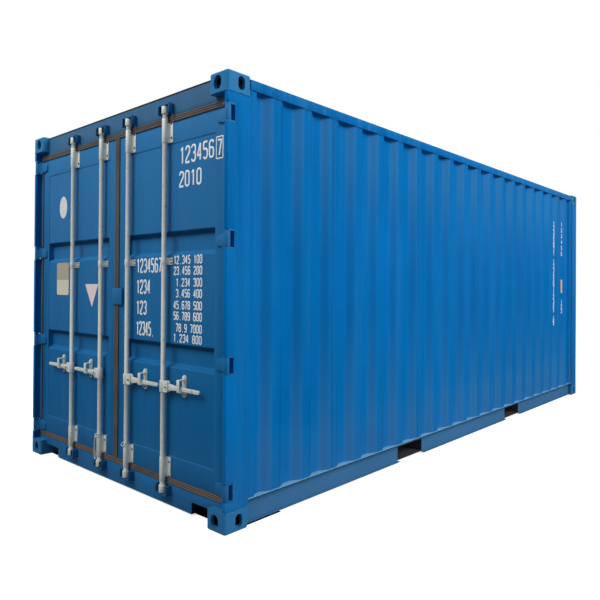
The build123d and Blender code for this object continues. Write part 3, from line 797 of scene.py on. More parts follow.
def plate(name, low, high, radius, material):
    """A thin plate between two corners, its edges rounded."""
    mesh = bmesh.new()
    bmesh.ops.create_cube(mesh, size=1.0)
    size = [b - a for a, b in zip(low, high)]
    centre = [(a + b) / 2 for a, b in zip(low, high)]
    bmesh.ops.scale(mesh, vec=size, verts=mesh.verts)
    bmesh.ops.translate(mesh, vec=centre, verts=mesh.verts)
    bmesh.ops.bevel(
        mesh,
        geom=list(mesh.edges),
        offset=min(radius, min(size) * 0.45),
        segments=2,
        affect="EDGES",
    )
    data = bpy.data.meshes.new(name)
    mesh.to_mesh(data)
    mesh.free()
    return new_object(name, data, material)


def rectangle(x0, x1, z0, z1, y):
    """A closed run round an upright rectangle."""
    return [(x0, y, z0), (x1, y, z0), (x1, y, z1), (x0, y, z1), (x0, y, z0)]


# Settings


def paint_setting(name, description, colour):
    """A colour that the panel offers."""
    return FloatVectorProperty(
        name=name, description=description, subtype="COLOR", default=colour, min=0.0, max=1.0
    )


def share_setting(name, description, value):
    """An amount between 0 and 1 that the panel offers."""
    return FloatProperty(
        name=name, description=description, subtype="FACTOR", default=value, min=0.0, max=1.0
    )


class ContainerFinishes(bpy.types.PropertyGroup):
    """Colours and wear."""

    body_colour: paint_setting(
        "Side paint", "Colour of the walls, rails and posts", (0.0, 0.152, 0.45)
    )
    # Painted shade: the doors have the side paint, and this darker, greyer copy of it stands for the shade on
    # the door end, which looks away from the light.
    door_colour: paint_setting(
        "Door paint", "Colour of the doors, header and sill", (0.004, 0.148, 0.385)
    )
    # Painted shade: the header's paint made darker and greyer to stand for the shade on it.
    header_colour: paint_setting(
        "Header paint", "Colour of the header, darker and greyer as painted shade", (0.034, 0.118, 0.23)
    )
    casting_colour: paint_setting(
        "Casting paint", "Colour of the corner castings, duller where lifting gear rubs", (0.014, 0.175, 0.41)
    )
    zinc_colour: paint_setting(
        "Zinc", "Colour of the galvanised lock gear", (0.7, 0.73, 0.68)
    )
    rubber_colour: paint_setting(
        "Seal rubber", "Colour of the door seals", (0.15, 0.105, 0.075)
    )
    ply_colour: paint_setting(
        "Floor boards", "Colour of the oiled plywood", (0.26, 0.12, 0.055)
    )
    mark_colour: paint_setting(
        "Markings", "Colour of the numbers", (0.9, 0.93, 0.95)
    )
    dust_colour: paint_setting(
        "Dust", "Colour of dust and dried rain", (0.12, 0.15, 0.19)
    )
    # Bleached paint in the rain streaks and paint runs, and also painted light: the pale sheen on the wall
    # slopes, the paler upper doors and weld ripples, and part of the grey front lip of the door posts.
    faded_and_sheen_colour: paint_setting(
        "Faded paint", "Colour of paint that sun and rain have bleached, and of painted sheen", (0.055, 0.22, 0.45)
    )
    primer_colour: paint_setting(
        "Primer", "Colour of the primer under chipped paint", (0.3, 0.3, 0.29)
    )
    rust_colour: paint_setting(
        "Rust", "Colour of rust in chips and welds", (0.13, 0.045, 0.017)
    )
    dust: share_setting("Dust amount", "How much dust lies low on the paint", 0.12)
    streaks: share_setting("Rain streaks", "How strong the upright streaks are", 0.4)
    chip_level: FloatProperty(
        name="Chip level",
        description="A higher level leaves fewer chips in the paint",
        default=1.07,
        min=0.6,
        max=1.4,
    )


class ContainerSheets(bpy.types.PropertyGroup):
    """Pressed sheets."""

    wall_columns: IntProperty(
        name="Wall columns",
        description="Points along a side wall",
        default=760,
        min=100,
        max=2000,
    )
    softness: share_setting("Bend softness", "0 is a sharp fold, 1 a round one", 0.55)
    waviness: FloatProperty(
        name="Waviness",
        description="How far the pressed sheet stands out of true",
        unit="LENGTH",
        default=0.0012,
        min=0.0,
        max=0.004,
    )
    edge_radius: FloatProperty(
        name="Edge radius",
        description="Rounding of rails, posts and gear",
        unit="LENGTH",
        default=0.002,
        min=0.0,
        max=0.006,
    )
    bead_radius: FloatProperty(
        name="Bead radius",
        description="Half the width of a weld seam",
        unit="LENGTH",
        default=0.0032,
        min=0.001,
        max=0.008,
    )


class ContainerMarks(bpy.types.PropertyGroup):
    """Plain numbers on the door and side."""

    number: StringProperty(
        name="Number",
        description="Plain digits at the top of the right door",
        default="123456",
    )
    check_digit: StringProperty(
        name="Boxed digit",
        description="The digit in the frame",
        default="7",
    )
    size_number: StringProperty(
        name="Size row",
        description="The second row of the right door",
        default="2010",
    )
    stroke: FloatProperty(
        name="Stroke",
        description="Width of the strokes as a share of the digits' height",
        subtype="FACTOR",
        default=0.16,
        min=0.03,
        max=0.3,
    )


# Finishes that the operators share


FINISHES = {}
RECIPES = {}


def finish_of(node):
    """The material of a CAD node: its own finish, or that of its slot in the record."""
    name = OWN_FINISH.get(node, slot_of(node))
    if name not in FINISHES:
        raise RuntimeError(f"there is no finish for {name}")
    return FINISHES[name]


class ContainerStep:
    """What the operators of this file share."""

    bl_options = {"REGISTER", "UNDO"}

    @classmethod
    def poll(cls, context):
        return bool(frame["nodes"])


CAMERA_AZIMUTH = 42.153
CAMERA_ELEVATION = -0.374
CAMERA_ROLL = 0.354
CAMERA_PLACE = (3.683, -5.161, 1.380)
CAMERA_LENS = 35.15
CAMERA_SHIFT = (0.0030, -0.0283)
SENSOR_WIDTH = 36.0
LAMPS = (
    ("side", (10.5, 0.5, 7.5), 7.0, 1160.0),
    ("front", (-1.5, -8.5, 8.5), 6.0, 620.0),
    ("back", (-8.0, 7.0, 6.0), 6.0, 380.0),
)
LAMP_AIM = (0.0, -0.5, 1.2)
FLOOR_GLOW = 0.78
FLOOR_REACH = 60.0
FLOOR_LEVEL = -0.0005
WORLD_TINT = (0.94, 0.97, 1.0, 1.0)
WORLD_LIGHT = 0.34


class CONTAINER_OT_stage(ContainerStep, bpy.types.Operator):
    """Camera, floor, world and lamps"""

    bl_idname = "container.stage"
    bl_label = "Stage"

    def execute(self, context):
        self.camera(context.scene)
        self.floor()
        self.world(context.scene)
        for row in LAMPS:
            self.lamp(*row)
        context.scene.view_settings.view_transform = "Standard"
        return {"FINISHED"}

    @staticmethod
    def camera(scene):
        """The camera that the container was seen with."""
        azimuth = math.radians(CAMERA_AZIMUTH)
        elevation = math.radians(CAMERA_ELEVATION)
        roll = math.radians(CAMERA_ROLL)
        back = Vector(
            (
                math.sin(azimuth) * math.cos(elevation),
                -math.cos(azimuth) * math.cos(elevation),
                math.sin(elevation),
            )
        )
        right = Vector((math.cos(azimuth), math.sin(azimuth), 0.0))
        up = back.cross(right)
        turned = right * math.cos(roll) + up * math.sin(roll)
        raised = up * math.cos(roll) - right * math.sin(roll)
        data = bpy.data.cameras.new("camera")
        data.lens = CAMERA_LENS
        data.sensor_width = SENSOR_WIDTH
        data.shift_x, data.shift_y = CAMERA_SHIFT
        obj = bpy.data.objects.new("camera", data)
        scene.collection.objects.link(obj)
        axes = Matrix((turned, raised, back)).transposed()
        obj.matrix_world = Matrix.Translation(CAMERA_PLACE) @ axes.to_4x4()
        scene.camera = obj

    @staticmethod
    def floor():
        """A floor that is white to the camera, with a painted shadow in the sill's cut-outs, and dull to
        everything else.
        """
        f = Finish("studio_floor")
        rays = f.node("ShaderNodeLightPath")
        dark = f.wire("ShaderNodeBsdfDiffuse", sockets={"Color": (0.006, 0.007, 0.009, 1.0)})
        dull = f.wire("ShaderNodeBsdfDiffuse", sockets={"Color": (0.2, 0.2, 0.2, 1.0)})
        pale = f.wire("ShaderNodeBsdfDiffuse", sockets={"Color": (0.8, 0.8, 0.8, 1.0)})
        glow = f.wire("ShaderNodeEmission", sockets={"Strength": FLOOR_GLOW})
        seen = f.wire("ShaderNodeAddShader", sockets={0: pale, 1: glow})
        # Painted shadow: the floor seen through the sill's cut-outs is near black.
        shadow_patch = f.within(*SILL_FLOOR_SHADOW) * (f.y * -1.0).above(0.0, MASK_EDGE)
        seen = f.wire("ShaderNodeMixShader", sockets={0: shadow_patch, 1: seen, 2: dark})
        camera = Wire(f, rays.outputs["Is Camera Ray"])
        both = f.wire("ShaderNodeMixShader", sockets={0: camera, 1: dull, 2: seen})
        f.node("ShaderNodeOutputMaterial", sockets={0: both})
        mesh = bpy.data.meshes.new("studio_floor")
        corners = [(-1, -1), (1, -1), (1, 1), (-1, 1)]
        places = [(x * FLOOR_REACH, y * FLOOR_REACH, FLOOR_LEVEL) for x, y in corners]
        mesh.from_pydata(places, [], [(0, 1, 2, 3)])
        new_object("studio_floor", mesh, f.material)

    @staticmethod
    def world(scene):
        """White to the camera and in reflections, an even grey light otherwise."""
        world = bpy.data.worlds.new("studio")
        world.use_nodes = True
        scene.world = world
        w = Nodes(world.node_tree)
        w.tree.nodes.clear()
        rays = w.node("ShaderNodeLightPath")
        seen = Wire(w, rays.outputs["Is Camera Ray"]).high(Wire(w, rays.outputs["Is Glossy Ray"]))
        seen = seen.high(Wire(w, rays.outputs["Is Transmission Ray"]))
        light = w.wire("ShaderNodeBackground", sockets={0: WORLD_TINT, 1: WORLD_LIGHT})
        white = w.wire("ShaderNodeBackground", sockets={0: (1.0, 1.0, 1.0, 1.0), 1: 1.0})
        both = w.wire("ShaderNodeMixShader", sockets={0: seen, 1: light, 2: white})
        w.node("ShaderNodeOutputWorld", sockets={0: both})

    @staticmethod
    def lamp(name, place, size, power):
        """A large soft lamp turned to the middle of the container."""
        data = bpy.data.lights.new(name, "AREA")
        data.shape = "DISK"
        data.size = size
        data.energy = power
        obj = bpy.data.objects.new(name, data)
        bpy.context.scene.collection.objects.link(obj)
        aim = Vector(LAMP_AIM) - Vector(place)
        obj.matrix_world = Matrix.Translation(place) @ aim.to_track_quat("-Z", "Y").to_matrix().to_4x4()


# Boxes of painted shade inside the corner castings.
CASTING_HOLLOWS = (
    ((1.068, 2.862, 0.027), (1.1975, 3.0075, 0.107)),
    ((1.068, 2.862, 2.484), (1.1975, 3.0075, 2.564)),
)
# Colour of the bottom rails, greyer and duller than the side paint.
GREY_RAIL_COLOUR = (0.04, 0.17, 0.36)
LEDGE_COLOUR = (0.20, 0.46, 0.66)
POCKET_LOW = (1.170, 2.970)
POCKET_HIGH = (1.2165, 3.0155)
POCKET_CLEAR = 0.004
# A box of painted shade inside the sill's cut-outs.
SILL_HOLLOWS = (((0.850, 2.880, 0.010), (1.060, 2.9765, 0.0885)),)
# Where the floor gets a painted shadow, under the sill's cut-outs.
SILL_FLOOR_SHADOW = ((0.640, 2.550, -1.0), (1.190, 2.930, 1.0))
OWN_FINISH = {
    "bottom_castings": "casting_paint",
    "top_castings": "casting_paint",
    "door_header": "header_paint",
    "door_sill": "sill_paint",
    "left_door_post": "post_paint",
    "right_door_post": "post_paint",
    "left_bottom_rail": "sole_paint",
    "right_bottom_rail": "sole_paint",
    "left_top_rail": "rail_paint",
    "right_top_rail": "rail_paint",
    "cam_keepers": "keeper_paint",
    "left_leaf_gasket": "seal_gap",
    "right_leaf_gasket": "seal_gap",
}


def hinge_pockets():
    """The boxes behind the door posts' pockets, one for each hinge blade, which get painted shade."""
    return [
        ((*POCKET_LOW, low.z - POCKET_CLEAR), (*POCKET_HIGH, high.z + POCKET_CLEAR))
        for low, high in solids_of("right_hinge_blades")
    ]


class CONTAINER_OT_finishes(ContainerStep, bpy.types.Operator):
    """Paint, zinc, rubber and plywood on every CAD node"""

    bl_idname = "container.finishes"
    bl_label = "Finishes"

    def execute(self, context):
        s = context.scene.container_finishes
        # door is the side paint with the door end's painted shade.
        body, door = s.body_colour, s.door_colour
        paints = (
            ("body_paint", body, 0.02, {"wave": 0.0006}),
            ("wall_paint", body, 0.02, {"wave": 0.0006, "tint": wall_sheen_and_shade(s)}),
            ("rail_paint", body, 0.02, {"tint": paint_runs(s)}),
            ("post_paint", body, 0.02, {"hollows": hinge_pockets(), "tint": front_face_shade(s)}),
            ("door_paint", door, 0.08, {"wave": 0.0005, "height_shading": 1.0}),
            ("panel_paint", door, 0.08, {"wave": 0.0005, "height_shading": 1.0, "tint": band_shadows(s)}),
            ("header_paint", s.header_colour, 0.08, {}),
            ("roof_paint", body, 0.06, {"wave": 0.001, "streaks": 0.0}),
            ("casting_paint", s.casting_colour, 0.12, {"hollows": CASTING_HOLLOWS}),
            ("sole_paint", GREY_RAIL_COLOUR, 0.04, {"tint": bright_ledge}),
            ("sill_paint", door, 0.16, {"hollows": SILL_HOLLOWS}),
            # Painted shade: the keepers are a darker copy of the door paint for the shade in and around them.
            ("keeper_paint", shade(door, 0.7), 0.16, {}),
        )
        for name, colour, gloss, wear in paints:
            FINISHES[name] = painted_steel(name, colour, s, gloss, **wear)
        FINISHES["galvanised"] = zinc("galvanised", s)
        FINISHES["bolt_steel"] = weld_metal("bolt_steel", (0.1, 0.1, 0.095), s)
        FINISHES["seal_rubber"] = rubber("seal_rubber", s.rubber_colour, s)
        # Painted shade: the gasket under the round lips is near black, for the shade between the lips.
        FINISHES["seal_gap"] = rubber("seal_gap", shade(s.rubber_colour, 0.25), s)
        FINISHES["floor_plywood"] = plywood("floor_plywood", s)
        FINISHES["under_paint"] = under_coat("under_paint", s)
        FINISHES["body_weld"] = weld_metal("body_weld", s.body_colour, s)
        FINISHES["door_weld"] = weld_metal("door_weld", s.door_colour, s)
        FINISHES["door_marks"] = stencil_paint("door_marks", s.mark_colour, s.door_colour)
        FINISHES["side_marks"] = stencil_paint("side_marks", s.mark_colour, s.body_colour)
        FINISHES["plate"] = printed_plate(
            "pale_plate", (0.72, 0.68, 0.54), (0.2, 0.19, 0.15), 0.018, (0.4, 0.38, 0.28), 1.424
        )
        FINISHES["patch"] = printed_plate("pale_patch", (0.74, 0.78, 0.76), (0.4, 0.45, 0.45), 0.05)
        FINISHES["pink"] = printed_plate("pink_patch", (0.86, 0.74, 0.72), (0.6, 0.35, 0.33), 0.03)
        FINISHES["yellow"] = printed_plate("yellow_patch", (0.85, 0.55, 0.02), (0.2, 0.15, 0.02), 0.03)
        for name, node in frame["nodes"].items():
            node.data.materials.clear()
            node.data.materials.append(finish_of(name))
        RECIPES["sheet"] = ribbed_sheet_recipe()
        RECIPES["weld"] = weld_recipe()
        RECIPES["bolt"] = bolt_recipe()
        RECIPES["rivet"] = rivet_recipe()
        RECIPES["ring"] = ring_recipe()
        return {"FINISHED"}


WALL_RIB = {"Pitch": 0.2765, "Slope": 0.068, "Flat": 0.070, "Depth": 0.036, "Count": 21}
WALL_START = 0.161
WALL_MARGIN = 0.056
FRONT_RIB = {"Pitch": 0.250, "Slope": 0.020, "Flat": 0.105, "Depth": 0.045}
ROOF_RIB = {"Pitch": 0.209, "Slope": 0.034, "Flat": 0.070, "Depth": 0.020}
BAND_RIB = {"Slope": 0.024, "Flat": 0.102, "Depth": 0.036, "Count": 2}
SHEET_THICKNESS = 0.002
SHEET_ROWS = 9
FRONT_COLUMNS = 560
ROOF_COLUMNS = 760
PANEL_COLUMNS = 420
WALL_MIDDLE = 1.35
WALL_END_REACH = 0.9
# Width of the painted shadow on the walls next to the front corner posts
FAR_STRIP = 0.215


def pressed_sheet(name, node, length, width, columns, rib, turn, settings, finish):
    """A ribbed sheet that stands for a CAD sheet. Turn takes along, across, outwards to the frame."""
    obj = new_object(name, bpy.data.meshes.new(name))
    values = dict(rib, Length=length, Width=width, Columns=columns)
    values.update(Rows=SHEET_ROWS, Softness=settings.softness, Waviness=settings.waviness)
    RECIPES["sheet"].attach(obj, values, finish)
    skin = obj.modifiers.new("thickness", "SOLIDIFY")
    skin.thickness = SHEET_THICKNESS
    skin.offset = -1.0
    settle(obj)
    obj.data.transform(turn)
    if turn.determinant() < 0:
        obj.data.flip_normals()
    obj.data.set_sharp_from_angle(angle=math.radians(50))
    mounted(obj, frame["nodes"][node]["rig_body"], slot_of(node))
    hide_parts(node)
    return obj


def centred_ribs(rib, length):
    """A rib with its count and first place, as many as fit, centred on a sheet."""
    count = int((length - rib["Pitch"]) // rib["Pitch"]) + 1
    span = (count - 1) * rib["Pitch"] + 2 * rib["Slope"] + rib["Flat"]
    return dict(rib, Count=count, First=(length - span) / 2)


def turned(along, across, out, centre):
    """The matrix from a sheet's own axes to the frame."""
    axes = Matrix((along, across, out)).transposed().to_4x4()
    return Matrix.Translation(centre) @ axes


class CONTAINER_OT_sheets(ContainerStep, bpy.types.Operator):
    """Side walls, blind end, roof and door panels as pressed sheets with soft bends"""

    bl_idname = "container.sheets"
    bl_label = "Pressed sheets"

    def execute(self, context):
        s = context.scene.container_sheets
        self.walls(s)
        self.blind_end(s)
        self.roof(s)
        self.panels(s)
        return {"FINISHED"}

    @staticmethod
    def walls(s):
        for side, sign in SIDES:
            low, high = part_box(f"{side}_wall")
            length, width = high.y - low.y, high.z - low.z
            first = CAD_LOW.y + WALL_START - low.y
            rib = dict(WALL_RIB, First=first, Margin=WALL_MARGIN)
            out = high.x if sign > 0 else low.x
            turn = turned(
                (0, 1, 0),
                (0, 0, 1),
                (sign, 0, 0),
                (out - sign * s.waviness, (low.y + high.y) / 2, (low.z + high.z) / 2),
            )
            name, node = f"{side}_wall_sheet", f"{side}_wall"
            finish = FINISHES["wall_paint"]
            pressed_sheet(name, node, length, width, s.wall_columns, rib, turn, s, finish)

    @staticmethod
    def blind_end(s):
        low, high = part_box("front_wall")
        length, width = high.x - low.x, high.z - low.z
        rib = centred_ribs(FRONT_RIB, length)
        centre = (0.0, high.y - s.waviness, (low.z + high.z) / 2)
        turn = turned((1, 0, 0), (0, 0, 1), (0, 1, 0), centre)
        finish = FINISHES["body_paint"]
        pressed_sheet("front_wall_sheet", "front_wall", length, width, FRONT_COLUMNS, rib, turn, s, finish)

    @staticmethod
    def roof(s):
        low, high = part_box("roof")
        length, width = high.y - low.y, high.x - low.x
        rib = centred_ribs(ROOF_RIB, length)
        centre = (0.0, (low.y + high.y) / 2, high.z - s.waviness)
        turn = turned((0, 1, 0), (1, 0, 0), (0, 0, 1), centre)
        finish = FINISHES["roof_paint"]
        pressed_sheet("roof_sheet", "roof", length, width, ROOF_COLUMNS, rib, turn, s, finish)

    @staticmethod
    def panels(s):
        for side, _ in SIDES:
            low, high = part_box(f"{side}_leaf_panel")
            length, width = high.z - low.z, high.x - low.x
            first, pitch, _ = band_places(length)
            rib = dict(BAND_RIB, First=first, Pitch=pitch)
            centre = ((low.x + high.x) / 2, low.y, (low.z + high.z) / 2)
            turn = turned((0, 0, 1), (1, 0, 0), (0, -1, 0), centre)
            name, node = f"{side}_panel_sheet", f"{side}_leaf_panel"
            finish = FINISHES["panel_paint"]
            pressed_sheet(name, node, length, width, PANEL_COLUMNS, rib, turn, s, finish)


EASED_NODES = (
    "door_header",
    "door_sill",
    "front_top_rail",
    "front_bottom_rail",
    "left_door_post",
    "right_door_post",
    "left_front_post",
    "right_front_post",
    "left_top_rail",
    "right_top_rail",
    "left_leaf_frame",
    "right_leaf_frame",
)
GEAR_NODES = (
    "cam_keepers",
    "lap_plate",
    "left_hinge_blades",
    "right_hinge_blades",
    "left_bar_brackets",
    "right_bar_brackets",
    "left_handle_seats",
    "right_handle_seats",
    "left_ventilator",
    "right_ventilator",
)


class CONTAINER_OT_edges(ContainerStep, bpy.types.Operator):
    """Rounded edges on the rails, posts, leaf frames and lock gear"""

    bl_idname = "container.edges"
    bl_label = "Rounded edges"

    def execute(self, context):
        radius = context.scene.container_sheets.edge_radius
        for node in EASED_NODES:
            eased(node, radius, finish_of(node))
        small = [f"{kind}_{i}" for kind in ("lock_bar", "handle", "catch") for i in range(1, 5)]
        for node in (*GEAR_NODES, *small):
            eased(node, radius * 0.6, finish_of(node))
        return {"FINISHED"}


LIP_INSETS = (0.006, 0.019, 0.032)
CENTRE_LIP_INSETS = (0.006, 0.0195)
HINGE_LIP_INSET = 0.0075
LIP_END = 0.04
SHORTEST_LIP = 0.01
BLADE_CLEAR = 0.006
LIP_VALUES = {"Radius": 0.005, "Step": 0.02, "Ripple": 0.0012}


class CONTAINER_OT_seals(ContainerStep, bpy.types.Operator):
    """Round lips on the front of the door seals"""

    bl_idname = "container.seals"
    bl_label = "Door seals"

    def execute(self, context):
        for side, sign in SIDES:
            low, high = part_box(f"{side}_leaf_gasket")
            centre, hinge = (low.x, high.x) if sign > 0 else (high.x, low.x)
            y = low.y + 0.002
            lines = []
            for inset in LIP_INSETS:
                for z in (low.z + inset, high.z - inset):
                    lines.append([(low.x + 0.005, y, z), (high.x - 0.005, y, z)])
            for inset in CENTRE_LIP_INSETS:
                x = centre + sign * inset
                lines.append([(x, y, low.z + 0.005), (x, y, high.z - 0.005)])
            lines += self.between_blades(side, hinge - sign * HINGE_LIP_INSET, y, low.z, high.z)
            name, body = f"{side}_seal_lips", f"{side}_door"
            run_beads(name, lines, LIP_VALUES, "seal_rubber", body, "seal_rubber")
        return {"FINISHED"}

    @staticmethod
    def between_blades(side, x, y, z0, z1):
        """Upright runs on the hinge side of the seal, which stops at the hinge blades."""
        blades = sorted((low.z, high.z) for low, high in solids_of(f"{side}_hinge_blades"))
        starts = [z0 + LIP_END, *(high + BLADE_CLEAR for _, high in blades)]
        ends = [*(low - BLADE_CLEAR for low, _ in blades), z1 - LIP_END]
        return [[(x, y, a), (x, y, b)] for a, b in zip(starts, ends) if b - a > SHORTEST_LIP]


BUTT_WELD_RIBS = (3, 7, 11, 15, 19)
BUTT_WELD_BACK = 0.036
CASTING_WIDTH = 0.165
SEALANT_AND_SHADE_VALUES = {"Radius": 0.005, "Step": 0.02, "Ripple": 0.001}
BLADE_LENGTH = 0.076
BLADE_HEIGHTS = (-0.0415, -0.032, 0.018, 0.0405)


class CONTAINER_OT_welds(ContainerStep, bpy.types.Operator):
    """Weld seams along rails, posts, castings, door panels and hinge blades"""

    bl_idname = "container.welds"
    bl_label = "Weld seams"

    def execute(self, context):
        radius = context.scene.container_sheets.bead_radius
        self.values = {"Radius": radius, "Step": 0.009, "Ripple": radius * 0.35}
        self.frame_welds()
        self.door_welds()
        return {"FINISHED"}

    def frame_welds(self):
        """Seams of the walls, posts and castings."""
        lines = []
        for side, sign in SIDES:
            low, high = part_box(f"{side}_wall")
            x = (high.x if sign > 0 else low.x) + sign * 0.0005
            for z in (low.z + 0.001, high.z - 0.001):
                lines.append(self.rib_path(x, sign, low.y, high.y, z))
            for k in BUTT_WELD_RIBS:
                y = CAD_LOW.y + WALL_START + k * WALL_RIB["Pitch"] - BUTT_WELD_BACK
                lines.append([(x - sign * 0.001, y, low.z), (x - sign * 0.001, y, high.z)])
            low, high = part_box(f"{side}_door_post")
            x0, x1 = low.x + 0.003, high.x - 0.003
            for z in (low.z, high.z):
                lines.append([(x0, low.y, z), (x1, low.y, z)])
                edge = high.x if sign > 0 else low.x
                lines.append([(edge, low.y + 0.003, z), (edge, high.y - 0.003, z)])
        # A dark bead along the header's top edge: sealant, and painted shade for the dark line where the roof
        # meets the header.
        low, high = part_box("door_header")
        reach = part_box("top_castings")[1].x - CASTING_WIDTH
        y, z = low.y + 0.001, high.z - 0.002
        bead = [(-reach, y, z), (reach, y, z)]
        run_beads("roof_sealant", [bead], SEALANT_AND_SHADE_VALUES, "under_paint", "frame", "under_paint")
        run_beads("frame_weld_seams", lines, self.values, "body_weld", "frame", "body_paint")

    @staticmethod
    def rib_path(x, sign, y0, y1, z):
        """A seam that follows the ribs of a side wall."""
        points = [(x, y0, z)]
        inner = x - sign * WALL_RIB["Depth"]
        for k in range(WALL_RIB["Count"]):
            start = CAD_LOW.y + WALL_START + k * WALL_RIB["Pitch"]
            steps = (0.0, WALL_RIB["Slope"], WALL_RIB["Slope"] + WALL_RIB["Flat"])
            for step, depth in zip((*steps, steps[2] + WALL_RIB["Slope"]), (x, inner, inner, x)):
                if y0 + WALL_MARGIN < start + step < y1 - WALL_MARGIN:
                    points.append((depth, start + step, z))
        points.append((x, y1, z))
        return points

    def door_welds(self):
        """Seams round the panels and the hinge blades."""
        for side, sign in SIDES:
            low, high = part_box(f"{side}_leaf_panel")
            lines = [rectangle(low.x, high.x, low.z, high.z, low.y - 0.0005)]
            leaf_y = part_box(f"{side}_leaf_frame")[0].y
            for a, b in solids_of(f"{side}_hinge_blades"):
                tip = a.x if sign > 0 else b.x
                edge, middle = tip + sign * BLADE_LENGTH, (a.z + b.z) / 2
                path = zip((edge, tip, tip, edge), BLADE_HEIGHTS)
                lines.append([(x, leaf_y, middle + z) for x, z in path])
            name, body = f"{side}_door_weld_seams", f"{side}_door"
            run_beads(name, lines, self.values, "door_weld", body, "door_paint")


HUB_PIN_INSET = 0.012
HANDLE_LEVEL = 0.755
HUB_HALF = 0.022
PIVOT_OUT = 0.042
RIVET_INSET = 0.02
RIVET_PITCH = 0.15
CHANNEL_BACK = 0.0466
GUIDE_BOLT = {"Radius": 0.0048, "Height": 0.004}
SEAL_RIVET = {"Radius": 0.005, "Height": 0.0022}
HUB_HEAD = {"Radius": 0.008, "Height": 0.002}
PIVOT_HEAD = {"Radius": 0.0085, "Height": 0.0035}
TIE_WIRE = {"Radius": 0.003, "Step": 0.006, "Ripple": 0.0}
# A ring's half width, half height and lean
SHORT_RING = (0.026, 0.011, 0.35)
LONG_RING = (0.016, 0.092, -0.06)


def spread(low, high, pitch):
    """Places a pitch apart, centred between two ends."""
    count = int((high - low) // pitch)
    start = low + 0.5 * (high - low - (count - 1) * pitch)
    return [start + i * pitch for i in range(count)]


class CONTAINER_OT_studs(ContainerStep, bpy.types.Operator):
    """Bolts on the bar guides and handle seats, rivets on the seals, pin heads on the bar hubs and handle
    pivots, and tie rings
    """

    bl_idname = "container.studs"
    bl_label = "Bolts and rivets"

    def execute(self, context):
        for side, _ in SIDES:
            self.guide_bolts(side)
            self.seal_rivets(side)
        self.pivot_heads()
        self.hub_heads()
        self.tie_rings()
        return {"FINISHED"}

    @staticmethod
    def guide_bolts(side):
        """Bolts near the free edge of each guide flange, and one on each handle seat."""
        places = []
        for low, high in solids_of(f"{side}_bar_brackets"):
            x, y = high.x - 0.012, high.y - 0.006
            tall = high.z - low.z > 0.1
            inset = 0.03 if tall else 0.011
            places += [((x, y, z), (0, -1, 0)) for z in (low.z + inset, high.z - inset)]
        for low, high in solids_of(f"{side}_handle_seats"):
            x = (low.x + high.x) / 2
            places.append(((x, high.y - 0.006, low.z + 0.016), (0, -1, 0)))
        name, body = f"{side}_guide_bolts", f"{side}_door"
        seat_all(name, "bolt", places, GUIDE_BOLT, "bolt_steel", body)

    @staticmethod
    def seal_rivets(side):
        """Rivets of the seal strip, on the inside of the leaf."""
        low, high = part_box(f"{side}_leaf_frame")
        columns = (low.x + RIVET_INSET, high.x - RIVET_INSET)
        rows = (low.z + RIVET_INSET, high.z - RIVET_INSET)
        places = [(x, high.y, z) for z in spread(low.z, high.z, RIVET_PITCH) for x in columns]
        back = high.y - CHANNEL_BACK
        places += [(x, back, z) for x in spread(low.x, high.x, RIVET_PITCH) for z in rows]
        places = [(place, (0, 1, 0)) for place in places]
        name, body = f"{side}_seal_rivets", f"{side}_door"
        seat_all(name, "rivet", places, SEAL_RIVET, "galvanised", body)

    @staticmethod
    def hub_heads():
        """The dark head of the pin in each bar's hub."""
        for number in range(1, 5):
            low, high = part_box(f"lock_bar_{number}")
            x = high.x - HUB_PIN_INSET if number > 2 else low.x + HUB_PIN_INSET
            places = [((x, low.y, HANDLE_LEVEL), (0, -1, 0))]
            bar = f"lock_bar_{number}"
            seat_all(f"{bar}_pin_head", "rivet", places, HUB_HEAD, "bolt_steel", bar)

    @staticmethod
    def tie_rings():
        """Wire rings on the lower guides of the two middle bars, for tying the doors back."""
        for side, _ in SIDES:
            guides = [box for box in solids_of(f"{side}_bar_brackets") if box[0].z < 0.5]
            guide = min(guides, key=lambda box: abs(box[0].x))
            x, y = guide[0].x + 0.0185, guide[0].y - 0.003
            loops = [ring_line((x, y, guide[1].z + 0.004), *SHORT_RING)]
            if side == "left":
                middle = (guide[0].z + guide[1].z) / 2
                loops.append(ring_line((x - 0.016, y, middle - 0.004), *LONG_RING))
            name, body = f"{side}_tie_ring", f"{side}_door"
            run_beads(name, loops, TIE_WIRE, "galvanised", body, "galvanised")

    @staticmethod
    def pivot_heads():
        """The riveted head of each handle's pivot."""
        for number in range(1, 5):
            low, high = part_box(f"handle_{number}")
            out = 1 if number > 2 else -1
            bar_low, bar_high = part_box(f"lock_bar_{number}")
            middle_z = (low.z + high.z) / 2
            inner = bar_low.x if out > 0 else bar_high.x
            x = inner + out * (HUB_HALF + PIVOT_OUT)
            places = [((x, low.y, middle_z), (0, -1, 0)), ((x, high.y, middle_z), (0, 1, 0))]
            handle = f"handle_{number}"
            seat_all(f"{handle}_pin_heads", "rivet", places, PIVOT_HEAD, "galvanised", handle)


def ring_line(centre, wide, tall, tilt, count=28):
    """A closed loop about a centre, wide across x, tall along its own up, leaning by the tilt."""
    points = []
    for i in range(count + 1):
        angle = 2 * math.pi * i / count
        across, up = wide * math.cos(angle), tall * math.sin(angle)
        x = centre[0] + across * math.cos(tilt) - up * math.sin(tilt)
        z = centre[2] + across * math.sin(tilt) + up * math.cos(tilt)
        points.append((x, centre[1], z))
    return points


